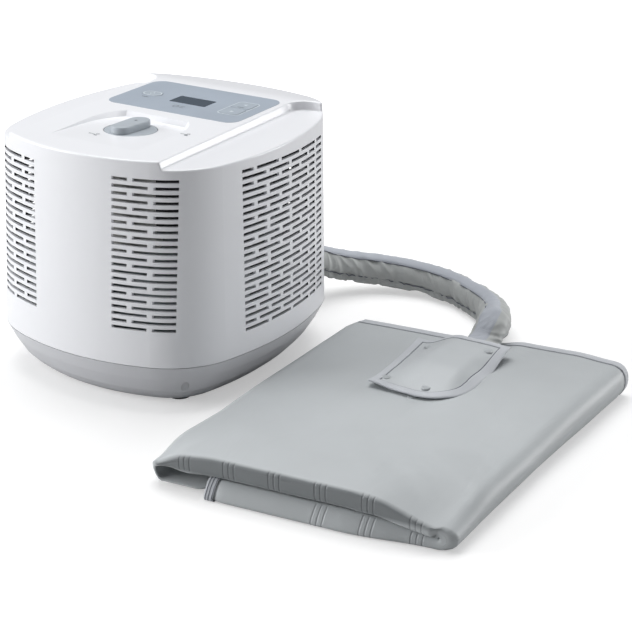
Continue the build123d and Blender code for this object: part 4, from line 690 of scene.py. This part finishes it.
def round_sleeve(share, angle, raised=0.0):
    """A point on the sleeve's cloth, or raised above it by so many millimetres."""
    centre, upward, outward = frames_at(sleeve_spots, sleeve_run, share)
    radius = (sleeve_radius(share * sleeve_run[-1] / MM, angle) + raised) * MM
    return centre + (upward * math.cos(angle) + outward * math.sin(angle)) * radius


def sleeve_point(angle_share, share):
    """A point of the sleeve's cloth."""
    return round_sleeve(share, angle_share * 2 * math.pi)


sleeve_shape = surface(120, SLEEVE_ROWS, sleeve_point)
sleeve = new_piece("gathered_sleeve", sleeve_shape, sleeve_cloth)
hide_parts("hose_sleeve")


def sleeve_strip(name, angle, width, proud, made):
    """A strip of tape or a line of thread sewn along the sleeve, with its edges pressed into the cloth."""

    def spot(across, share):
        edge = 1 - abs(2 * across - 1) ** 6
        return round_sleeve(share, angle + (across - 0.5) * width / SLEEVE_R, proud * edge - 0.2)

    return new_piece(name, surface(12, SLEEVE_ROWS, spot), made)


tape_edge = TAPE_ANGLE - (SLEEVE_TAPE_W / 2 + 0.1) / SLEEVE_R
sleeve_tape = sleeve_strip("sleeve_tape", TAPE_ANGLE, SLEEVE_TAPE_W, 1.2, sleeve_tape_cloth)
tape_stitch = sleeve_strip("sleeve_tape_stitch", tape_edge, 0.8, 0.9, thread_dark)
seam_stitch = sleeve_strip("sleeve_seam_stitch", GROOVE_ANGLE, 0.9, 1.1, thread_dark)

# The sleeve's neck, from round to flat, down onto the mat. It starts a little proud of the sleeve
NECK_W = 31.0
NECK_H = 14.5
NECK_PROUD = 0.3
NECK_DRAW = 0.9
NECK_ROUTE = [
    (268.2, 130.4, 40.9),
    HOSE_ROUTE[-1],
    (273, 112, 42),
    (272.5, 98, 34.6),
    (272, 84, 34.05),
]
neck_spots = points_along("neck_line", NECK_ROUTE)
neck_run = lengths(neck_spots)


def neck_point(angle_share, share, proud=0.0):
    """A point of the neck's cloth."""
    angle = angle_share * 2 * math.pi
    centre, upward, outward = frames_at(neck_spots, neck_run, share)
    flat = ease(share, 0.15, 0.85)
    rise = pucker(share * neck_run[-1] / MM + 370, angle, 0.5) * 0.7 + proud
    wide = blend(SLEEVE_R, NECK_W / 2, flat) + NECK_PROUD - NECK_DRAW * flat + rise
    high = blend(SLEEVE_R, NECK_H / 2, flat) + NECK_PROUD - NECK_DRAW * flat + rise * 0.7
    return centre + (upward * math.cos(angle) * high + outward * math.sin(angle) * wide) * MM


def neck_tape_point(across, share):
    """A point of the sleeve's tape where it runs on over the neck."""
    angle_share = (TAPE_ANGLE / (2 * math.pi) + (across - 0.5) * 0.2) % 1
    return neck_point(angle_share, share, 1.2 - 1.2 * (2 * across - 1) ** 6)


neck = new_piece("gathered_neck", surface(72, 60, neck_point), sleeve_cloth)
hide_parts("sleeve_neck")
new_piece("neck_tape", surface(16, 50, neck_tape_point), sleeve_tape_cloth)

# The folded mat: one padded strip, folded at the right over its free end and at the left under itself
THICK = 8.3
LAYER = 9.1
MID_X = 265.0
END_X = 193.0
FRONT_Y = -208.0
REAR_Y = 119.0
LOW, MID, HIGH = THICK / 2, THICK / 2 + LAYER, THICK / 2 + 2 * LAYER
SLANT_COS = math.cos(MAT_TURN)
SLANT_SIN = math.sin(MAT_TURN)

# Its left and right ends, from front to rear
STATIONS = [
    (FRONT_Y, 150, 384),
    (-204, 147, 387),
    (-200, 146.5, 387),
    (-60, 141, 390),
    (100, 138, 397),
    (REAR_Y, 143, 396),
]

# How far its cover rounds off at the front and the rear. More of its points lie there and at the strip's ends
NOSE_SHARE = 0.12
NOSE_REACH = 14.0
HEEL_SHARE = 0.07
HEEL_REACH = 7.0
FRONT_ROUND = 6.0
REAR_ROUND = 5.0
FINE_SHARE = 0.02

# How its front edge swells, bulges and sinks. Its bottom layer starts at STRIP_START
STRIP_START = -73.5
LIP_SWELL = 8.6
LOWER_SWELL = 7.0
CORNER_SWELL = 4.9
CORNER_PULL = 9.0
CORNER_DIP = 6.0
CORNER_THIN = 0.62
LEFT_DROOP = 9.0
LIP_REACH = 3.0
MIDDLE_SET_BACK = 12
MIDDLE_THIN = 0.7
RIGHT_SQUASH = 0.3


def side_edges(y):
    """Left and right ends of the folded mat at a station."""
    for (y0, left0, right0), (y1, left1, right1) in zip(STATIONS, STATIONS[1:]):
        if y <= y1:
            part = (y - y0) / (y1 - y0)
            return blend(left0, left1, part), blend(right0, right1, part)
    return STATIONS[-1][1:]


def fold_ends(y):
    """Where the strip turns at the left and the right, where it starts, and its five stretches' lengths."""
    left_x, right_x = side_edges(y)
    right = (right_x - MID_X) / SLANT_COS - LAYER - THICK / 2
    left = (left_x - MID_X) / SLANT_COS + LAYER / 2 + THICK / 2
    start = (END_X - MID_X) / SLANT_COS
    flat = right - left
    return left, right, start, [right - start, math.pi * LAYER, flat, math.pi * LAYER / 2, flat]


def fold_line(y, share):
    """Centre of the padded strip, its direction and its layer, at a share of its folded length."""
    left, right, start, runs = fold_ends(y)
    here = share * sum(runs)
    if here < runs[0]:
        return start + here, LOW, Vector((1, 0)), 0
    here -= runs[0]
    if here < runs[1]:
        turn = here / LAYER
        spot = right + LAYER * math.sin(turn)
        return spot, MID - LAYER * math.cos(turn), Vector((math.cos(turn), math.sin(turn))), 1
    here -= runs[1]
    if here < runs[2]:
        return right - here, HIGH, Vector((-1, 0)), 2
    here -= runs[2]
    if here < runs[3]:
        turn = here / (LAYER / 2)
        spot = left - LAYER / 2 * math.sin(turn)
        height = (MID + HIGH) / 2 + LAYER / 2 * math.cos(turn)
        return spot, height, Vector((-math.cos(turn), -math.sin(turn))), 3
    here -= runs[3]
    return left + here, MID, Vector((1, 0)), 4


def end_share(y):
    """Thickness share near the strip's front and rear edges: blunt in front, round behind."""
    from_front = max(0.0, min(1.0, (y - FRONT_Y) / FRONT_ROUND))
    from_rear = max(0.0, min(1.0, (REAR_Y - y) / REAR_ROUND))
    return max(0.0, 1 - (1 - from_front) ** 2.6) ** (1 / 2.6) * math.sqrt(max(0.0, 1 - (1 - from_rear) ** 2))


def crown(x, y):
    """How far the loosely folded top layer stands above its flat height."""
    middle = ease(x, -118, -60) * (1 - ease(x, 60, 118))
    front = math.exp(-(((y - FRONT_Y) / 75) ** 2))
    right_rear = ease(x, 8, 40) * (1 - 0.4 * ease(x, 84, 119)) * ease(y, -90, 30)
    return 7.4 * middle * front + 6.2 * right_rear


def wrinkle(x, y):
    """Soft creases that run from the front right corner over the top layer, in millimetres."""
    from_x, from_y = x - 128, y + 190
    across = from_x * 0.62 + from_y * 0.78
    along = from_x * 0.78 - from_y * 0.62
    near = math.exp(-(((math.hypot(from_x, from_y) - 45) / 55) ** 2))
    return 0.9 * near * noise.noise(Vector((along * 0.012, across * 0.085, 7.7)))


def near_front(y, start, end):
    """1 up to start millimetres behind the mat's front edge, and 0 from end millimetres behind it."""
    return 1 - ease(y, FRONT_Y + start, FRONT_Y + end)


def left_corner(x, y):
    """1 at the mat's left front corner, and 0 away from it."""
    left = fold_ends(y)[0]
    return (1 - ease(x, left - 4, left + 24)) * near_front(y, 6, 50)


def half_thickness(x, y, layer, upper):
    """Half the strip's thickness: its upper side swells along the front, and its left corner is thin."""
    left, right, _, _ = fold_ends(y)
    swell = 0.0
    if upper and layer == 0:
        swell = blend(LOWER_SWELL, CORNER_SWELL, ease(x, right - 46, right))
        swell *= ease(x, STRIP_START, STRIP_START + 1.5)
    if upper and layer == 1:
        swell = CORNER_SWELL
    if upper and layer == 2:
        swell = blend(LIP_SWELL, CORNER_SWELL, ease(x, right - 40, right)) * ease(x, left, left + 30)
    half = THICK / 2 + swell * near_front(y, 5, 20)
    if layer in (2, 3):
        half *= 1 - CORNER_THIN * left_corner(x, y)
    if layer == 4:
        half *= 1 - MIDDLE_THIN * near_front(y, 0, 34) * (1 - ease(x, -70, -50))
    return half


def cover_spot(share, y, height):
    """A point of the folded strip: share along it, y across it, height from one face, -1, to the other, 1."""
    flat_x, flat_z, direction, layer = fold_line(y, share)
    left, right, _, _ = fold_ends(y)
    edge = near_front(y, 5, 20)
    dip = CORNER_DIP * left_corner(flat_x, y)
    droop = LEFT_DROOP * near_front(y, 0, 70) * (1 - ease(flat_x, -78, -50))
    pull = CORNER_PULL * max(0.0, 1 - (y - FRONT_Y) / 90) * (1 - ease(flat_x, left, left + 80))
    squash = RIGHT_SQUASH * ease(flat_x, right - 70, right + 6) * near_front(y, 0, 70)
    outward = height * half_thickness(flat_x, y, layer, height > 0) * end_share(y)
    if layer in (1, 2, 3) and height < 0:
        wave = noise.noise(Vector((flat_x * 0.018, y * 0.012, 0.4 + layer))) * 0.8
        fold = noise.noise(Vector((flat_x * 0.03 + y * 0.02, y * 0.006, 5.2))) * 0.5
        outward -= (wave + fold) * 0.5
    x = flat_x - direction.y * outward
    z = flat_z + direction.x * outward
    if layer == 0:
        bulge = blend(8.0, 1.5, ease(z, 0, 18)) * edge
        y -= bulge * ease(x, STRIP_START, STRIP_START + 2.5) * (1 - ease(x, right - 70, right))
    if layer == 1:
        z += crown(right, y) * min(1.0, max(0.0, (z - LOW) / (HIGH - LOW)))
    if layer == 2:
        z += crown(flat_x, y) - dip + wrinkle(flat_x, y)
        y -= LIP_REACH * edge
    if layer == 3:
        z -= blend(droop, dip, ease(z, MID, HIGH))
    if layer == 4:
        y += MIDDLE_SET_BACK * near_front(y, 0, 34) * ease(flat_x, -80, -60)
        z -= droop
    if layer in (2, 3, 4):
        x -= pull * (1.0 if layer == 2 else 0.4 + 0.6 * ease(z, LOW, HIGH))
    z *= 1 - squash
    return at(MID_X + x * SLANT_COS, y + x * SLANT_SIN, max(0.0, z))


def mat_point(section, station):
    """A point of the mat's cover: section goes round the strip, station from front to rear."""
    if station < NOSE_SHARE:
        y = FRONT_Y + NOSE_REACH * (1 - math.cos(math.pi / 2 * station / NOSE_SHARE))
    elif station > 1 - HEEL_SHARE:
        y = REAR_Y - HEEL_REACH * (1 - math.cos(math.pi / 2 * (1 - station) / HEEL_SHARE))
    else:
        part = (station - NOSE_SHARE) / (1 - NOSE_SHARE - HEEL_SHARE)
        y = FRONT_Y + NOSE_REACH + (REAR_Y - FRONT_Y - NOSE_REACH - HEEL_REACH) * part
    lower = section >= 0.5
    share = (1 - section) * 2 if lower else section * 2
    if share < FINE_SHARE or share > 1 - FINE_SHARE:
        share = 0.5 - 0.5 * math.cos(math.pi * share)
    return cover_spot(share, y, -1 if lower else 1)


mat = new_piece("folded_mat", surface(520, 130, mat_point, weld=0.00006), mat_cloth)
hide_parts("mat")


def strip_share(x, layer):
    """The share of the strip's folded length at x in its bottom (0) or top (2) layer, at the rear edge."""
    _, right, start, runs = fold_ends(REAR_Y)
    spot = (x - MID_X) / SLANT_COS
    if layer == 0:
        return (spot - start) / sum(runs)
    return (runs[0] + runs[1] + right - spot) / sum(runs)


def between(values, share):
    """The value at a share of a list of tuples, straight from one to the next."""
    spot = share * (len(values) - 1)
    index = min(int(spot), len(values) - 2)
    return tuple(blend(a, b, spot - index) for a, b in zip(values[index], values[index + 1]))


# Binding along the mat's far edge: over the edge and round the right fold. Each row of its profile says how
# far in from the edge it lies, and at what height of the strip
EDGE_TAPE_START = strip_share(386, 0)
EDGE_TAPE_END = strip_share(152, 2)
EDGE_TAPE = [
    (10.0, -1.02),
    (9.6, -1.14),
    (6, -1.16),
    (3, -1.14),
    (0.6, -1.0),
    (-0.6, -0.6),
    (-0.9, 0.0),
    (-0.6, 0.6),
]


def edge_tape_point(across, share):
    """A point of the binding: across it from its inner edge over the mat's edge."""
    inward, height = between(EDGE_TAPE, across)
    y = REAR_Y - inward
    on_cover = min(y, REAR_Y - REAR_ROUND)
    spot = cover_spot(blend(EDGE_TAPE_START, EDGE_TAPE_END, share), on_cover, height)
    spot.y += (y - on_cover) * MM
    return spot


def edge_stitch_point(across, share):
    """A point of the stitch line at the binding's inner edge."""
    y = REAR_Y - 10.2 - 0.8 * across
    height = -1.03 - 0.04 * math.sin(math.pi * across)
    return cover_spot(blend(EDGE_TAPE_START, EDGE_TAPE_END, share), y, height)


edge_tape = new_piece("mat_edge_tape", surface(28, 360, edge_tape_point), tape_cloth)
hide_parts("mat_edge_binding")
new_piece("mat_edge_stitch", surface(3, 360, edge_stitch_point), thread_dark)

# Tape round the free end of the mat's bottom layer, from its upper side round the front edge, with three ribs
END_TAPE_START = 0.0015
END_TAPE_SHARE = 0.0125
END_TAPE_OUT = Vector((0, -0.5, 0)) * MM
END_RIB_OUT = Vector((0, -0.15, 0.1)) * MM
END_RIBS = [0.2, 0.5, 0.85]
END_RIB_W = 0.09
END_TAPE = [
    (60, 1.0),
    (20, 1.0),
    (7.0, 1.0),
    (3.0, 1.0),
    (0.4, 1.0),
    (0.1, 0.0),
    (0.4, -1.0),
    (3.0, -1.0),
    (7.0, -1.0),
]


def end_tape_point(across, share):
    """A point of the tape round the free end."""
    inward, height = between(END_TAPE, share)
    spot = cover_spot(END_TAPE_START + END_TAPE_SHARE * across, FRONT_Y + inward, height * 1.08)
    return spot + END_TAPE_OUT


def end_rib(name, first):
    """A dark rib woven into the tape at the free end."""
    shape = surface(3, 90, lambda u, v: end_tape_point(first + END_RIB_W * u, v) + END_RIB_OUT)
    new_piece(name, shape, thread_dark)


end_tape = new_piece("mat_end_tape", surface(8, 90, end_tape_point), tape_cloth)
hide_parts("mat_end_binding")
for number, first in enumerate(END_RIBS, 1):
    end_rib("mat_end_rib_%d" % number, first)

# Cover flap over the couplings: a bound cloth, square where it is sewn and rounded in front at the right
FLAP_X = 265.0
FLAP_W = 80.0
FLAP_REAR_Y = 82.0
FLAP_FRONT_Y = -27.5
FLAP_Z = 30.2
FLAP_RISE = 12.8
FLAP_ROUND = 36.0
FLAP_FLARE = 9.0
FLAP_THICK = 1.2
FLAP_RISES_X = (223, 261)
FLAP_FALLS_X = (285, 308)
FLAP_RISES_Y = (-26, 19)
FLAP_HELD_UP_Y = (30, 78)


def flap_front(u):
    """The flap's front edge at a share of its width: straight at the left, rounded at the right."""
    turn = max(0.0, (u - 0.4) / 0.6)
    return FLAP_FRONT_Y + FLAP_ROUND * (1 - math.sqrt(max(0.0, 1 - turn ** 2.6)))


def flap_height(x, y):
    """Height of the flap's top side: arched over the couplings, high at its rear right, lifted in front."""
    fall = ease(x, *FLAP_FALLS_X) * (1 - 0.95 * ease(y, *FLAP_HELD_UP_Y))
    arch = ease(x, *FLAP_RISES_X) * (1 - fall) * ease(y, *FLAP_RISES_Y)
    front_corner = math.exp(-((x - 225) ** 2 + (y + 34) ** 2) / 320)
    right_edge = ease(x, 285, 305) * math.exp(-(((y - 20) / 16) ** 2))
    ruffle = noise.noise(Vector((x * 0.05, y * 0.045, 2.0)))
    return FLAP_Z + FLAP_RISE * arch + 3.2 * front_corner + 2.0 * right_edge + 0.7 * ruffle


def flap_spot(x, y, raised=0.0):
    """A point of the flap in the row frame."""
    return at(x, y, flap_height(x, y) + raised)


def flap_point(u, v):
    """A point of the flap's cloth."""
    x = FLAP_X + (u - 0.5) * FLAP_W - FLAP_FLARE * (1 - u) * (1 - v) ** 1.5
    return flap_spot(x, FLAP_REAR_Y + (flap_front(u) - FLAP_REAR_Y) * v)


flap = new_piece("flap_cloth", surface(70, 96, flap_point), flap_cloth, "flap")
thickness = flap.modifiers.new("thickness", "SOLIDIFY")
thickness.thickness = FLAP_THICK * MM
thickness.offset = -1
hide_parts("cover_flap")


def resample(spots, count):
    """The same line with evenly spaced points."""
    run = lengths(spots)
    return [along_line(spots, run, index / count)[0] for index in range(count + 1)]


# The flap's edge in plan, in the CAD source's millimetres, and the way inward from each of its points
BAND_ROWS = 240
outline = [flap_point(0.0, v / 60) for v in range(61)]
outline += [flap_point(u / 80, 1.0) for u in range(1, 81)]
outline += [flap_point(1.0, 1 - v / 40) for v in range(1, 41)]
outline += [flap_point(1 - u / 30, 0.0) for u in range(1, 31)]
outline = [Vector((spot.x / MM - HOME_X, spot.y / MM - HOME_Y)) for spot in outline]
outline = resample(outline, BAND_ROWS)
inner_ways = []
for index in range(len(outline)):
    before = outline[(index - 3) % BAND_ROWS]
    after = outline[(index + 3) % BAND_ROWS]
    run = (after - before).normalized()
    inner_ways.append(Vector((-run.y, run.x)))


def flap_band(name, profile, made, across):
    """A band along the flap's edge: profile gives how far inward each line runs, and how high."""

    def spot(u, v):
        inward, raised = between(profile, u)
        edge = between(outline, v)
        way = between(inner_ways, v)
        return flap_spot(edge[0] + way[0] * inward, edge[1] + way[1] * inward, raised)

    return new_piece(name, surface(across, BAND_ROWS, spot), made, "flap")


FLAP_TAPE = [
    (6.8, 0.05),
    (6.5, 0.55),
    (3.4, 0.7),
    (0.5, 0.6),
    (-0.6, 0.0),
    (-0.6, -1.0),
    (0.5, -1.7),
    (7.0, -1.8),
]
FLAP_STITCH = [(7.5, 0.05), (7.2, 0.2), (6.9, 0.05)]
flap_tape = flap_band("flap_tape", FLAP_TAPE, tape_cloth, 28)
flap_stitch = flap_band("flap_stitch", FLAP_STITCH, thread_dark, 4)
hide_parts("flap_binding")


# Thin printed marks, laid on the node that carries them
ABOVE_ALL = 400


def laid(name, shape, carrier, body, made, raised=0.00008):
    """A flat shape drawn in plan in the CAD source's millimetres, dropped onto a CAD node."""
    tree = BVHTree.FromObject(nodes[carrier], bpy.context.evaluated_depsgraph_get())
    for vertex in shape.verts:
        spot = at(vertex.co.x, vertex.co.y, ABOVE_ALL)
        hit, normal, _, _ = tree.ray_cast(spot, Vector((0, 0, -1)))
        vertex.co = hit + normal * raised
    new_piece(name, shape, made, body, smooth=False)


def ring(shape, x, y, wide, deep, corner, thick, segments=10):
    """A rounded rectangle's outline in plan."""
    loops = []
    for inset in (0.0, thick):
        loop = []
        for side, (sign_x, sign_y) in enumerate(((1, 1), (-1, 1), (-1, -1), (1, -1))):
            for step in range(segments + 1):
                turn = (side + step / segments) * math.pi / 2
                spot_x = sign_x * (wide / 2 - corner) + math.cos(turn) * (corner - inset)
                spot_y = sign_y * (deep / 2 - corner) + math.sin(turn) * (corner - inset)
                loop.append(shape.verts.new((x + spot_x, y + spot_y, 0)))
        loops.append([shape.edges.new((a, b)) for a, b in zip(loop, loop[1:] + loop[:1])])
    bmesh.ops.bridge_loops(shape, edges=loops[0] + loops[1])


def plate(shape, x, y, wide, deep, turn=0.0, sides=4):
    """A flat bar, triangle or disc in plan."""
    made = bmesh.ops.create_circle(shape, cap_ends=True, segments=sides, radius=0.5)
    spread = math.sqrt(2) if sides == 4 else 1.0
    for vertex in made["verts"]:
        start = math.pi / 4 if sides == 4 else math.pi / 2
        spot = Matrix.Rotation(start, 2) @ Vector((vertex.co.x, vertex.co.y))
        spot = Matrix.Rotation(turn, 2) @ Vector((spot.x * wide * spread, spot.y * deep * spread))
        vertex.co = (x + spot.x, y + spot.y, 0)


def mark(name, parts, carrier, body, made):
    """Rings and plates of one printed mark, laid on the node that carries them."""
    shape = bmesh.new()
    for draw, values in parts:
        draw(shape, *values)
    laid(name, shape, carrier, body, made)


POWER_X, PANEL_Y, TEMP_X, ARROW_STEP = -46.0, 40.0, 48.0, 11.5
mark(
    "power_key_ring",
    [(ring, (POWER_X, PANEL_Y, 18.6, 11.6, 5.75, 0.9))],
    "power_key",
    "power_key",
    print_pale,
)
mark(
    "power_key_mark",
    [(ring, (POWER_X, PANEL_Y, 4.6, 4.6, 2.25, 0.6)), (plate, (POWER_X, PANEL_Y + 2.2, 0.6, 2.6))],
    "power_key",
    "power_key",
    print_pale,
)
mark(
    "temp_keys_outline",
    [(ring, (TEMP_X, PANEL_Y, 22.6, 41.4, 5.4, 0.9))],
    "control_panel",
    "chiller_and_mat",
    print_pale,
)
for name, key, step, turn in (
    ("temp_up_mark", "temp_up_key", ARROW_STEP, 0.0),
    ("temp_down_mark", "temp_down_key", -ARROW_STEP, math.pi),
):
    mark(name, [(plate, (TEMP_X, PANEL_Y + step, 5.4, 4.6, turn, 3))], key, key, print_pale)
mark("temp_dash", [(plate, (TEMP_X, PANEL_Y + 3.4, 7.0, 1.1))], "temp_up_key", "temp_up_key", print_dark)
mark(
    "panel_icons",
    [
        (plate, (POWER_X, PANEL_Y - 11.5, 7.0, 1.2)),
        (ring, (-4.0, 17.5, 5.2, 5.2, 1.0, 0.7)),
        (plate, (2.6, 19.0, 4.6, 0.8)),
        (plate, (2.6, 16.0, 4.6, 0.8)),
    ],
    "control_panel",
    "chiller_and_mat",
    print_dark,
)
LOCK_MARKS = [("closed_mark", -17.0, -83.0, 1), ("open_mark", 50.0, -47.0, -1)]
for name, x, y, way in LOCK_MARKS:
    mark(
        name,
        [
            (plate, (x, y, 5.0, 0.9)),
            (plate, (x - 3.0 * way, y, 2.6, 2.6, math.pi / 2 * way, 3)),
            (ring, (x + 4.6, y + 1.6, 2.8, 2.8, 0.8, 0.6)),
            (plate, (x + 4.6, y - 2.2, 3.4, 1.8)),
        ],
        "upper_housing",
        "chiller_and_mat",
        print_dark,
    )
mark("cap_mark", [(plate, (0.0, -45.5, 2.6, 2.6, 0.0, 20))], "filler_cap", "cap", print_dark)

# Snap fasteners' caps, pressed through the flap
SNAP_SPOTS = [(236, 62), (292, 64), (234, -13), (272, -14)]
SNAP_RAISED = 0.3
SNAP_SHAPE = {"radius1": 0.004, "radius2": 0.0035, "depth": 0.0008}
snaps = bmesh.new()
for x, y in SNAP_SPOTS:
    place = Matrix.Translation(flap_spot(x, y, SNAP_RAISED))
    bmesh.ops.create_cone(snaps, cap_ends=True, segments=32, matrix=place, **SNAP_SHAPE)
snap_discs = new_piece("snap_discs", snaps, snap_clear, "flap", smooth=False)
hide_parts("snap_caps")

# Floor and light
FLOOR_Z = -0.0002
FLOOR_HALF = 6
floor_shape = bmesh.new()
bmesh.ops.create_grid(floor_shape, x_segments=1, y_segments=1, size=FLOOR_HALF)
floor_mesh = bpy.data.meshes.new("floor")
floor_shape.to_mesh(floor_mesh)
floor_shape.free()
floor = bpy.data.objects.new("floor", floor_mesh)
bpy.context.scene.collection.objects.link(floor)
floor.location.z = FLOOR_Z
floor_white = material("floor_white", (0.62, 0.62, 0.62), 0.9, Emission_Color=(1, 1, 1, 1))
floor_tree = floor_white.node_tree
reach = node(floor_tree, "VectorMath", operation="LENGTH")
glow = node(floor_tree, "MapRange", From_Min=0.35, From_Max=1.3, To_Min=0.42, To_Max=0.95)
seen = node(floor_tree, "LightPath")
link(floor_tree, coordinates(floor_tree), reach.inputs[0])
link(floor_tree, reach.outputs["Value"], glow.inputs["Value"])
shown = count(floor_tree, "MULTIPLY", glow.outputs["Result"], seen.outputs["Is Camera Ray"])
link(floor_tree, shown, shader_of(floor_white).inputs["Emission Strength"])
floor.data.materials.append(floor_white)

world = bpy.data.worlds.new("studio")
world.use_nodes = True
sky_tree = world.node_tree
sky = sky_tree.nodes["Background"]
sky.inputs["Color"].default_value = (0.97, 0.98, 1, 1)
sky_seen = node(sky_tree, "LightPath")
sky_glow = node(sky_tree, "MapRange", To_Min=0.2, To_Max=1.1)
link(sky_tree, sky_seen.outputs["Is Camera Ray"], sky_glow.inputs["Value"])
link(sky_tree, sky_glow.outputs["Result"], sky.inputs["Strength"])
bpy.context.scene.world = world


def soft_light(name, spot, target, size, power):
    """A square soft light that faces the target."""
    lamp = bpy.data.lights.new(name, "AREA")
    lamp.size = size
    lamp.energy = power
    made = bpy.data.objects.new(name, lamp)
    bpy.context.scene.collection.objects.link(made)
    made.location = spot
    made.rotation_euler = (Vector(target) - Vector(spot)).to_track_quat("-Z", "Y").to_euler()


soft_light("key_light", (-1.9, -1.4, 0.75), (-0.1, 0, 0.1), size=1.25, power=44)
soft_light("top_light", (-0.35, 0.4, 1.9), (0, 0, 0), size=1.7, power=34)
soft_light("side_light", (1.5, 1.6, 0.2), (0, 0, 0.1), size=0.9, power=26)

bpy.context.scene.view_settings.view_transform = "Standard"
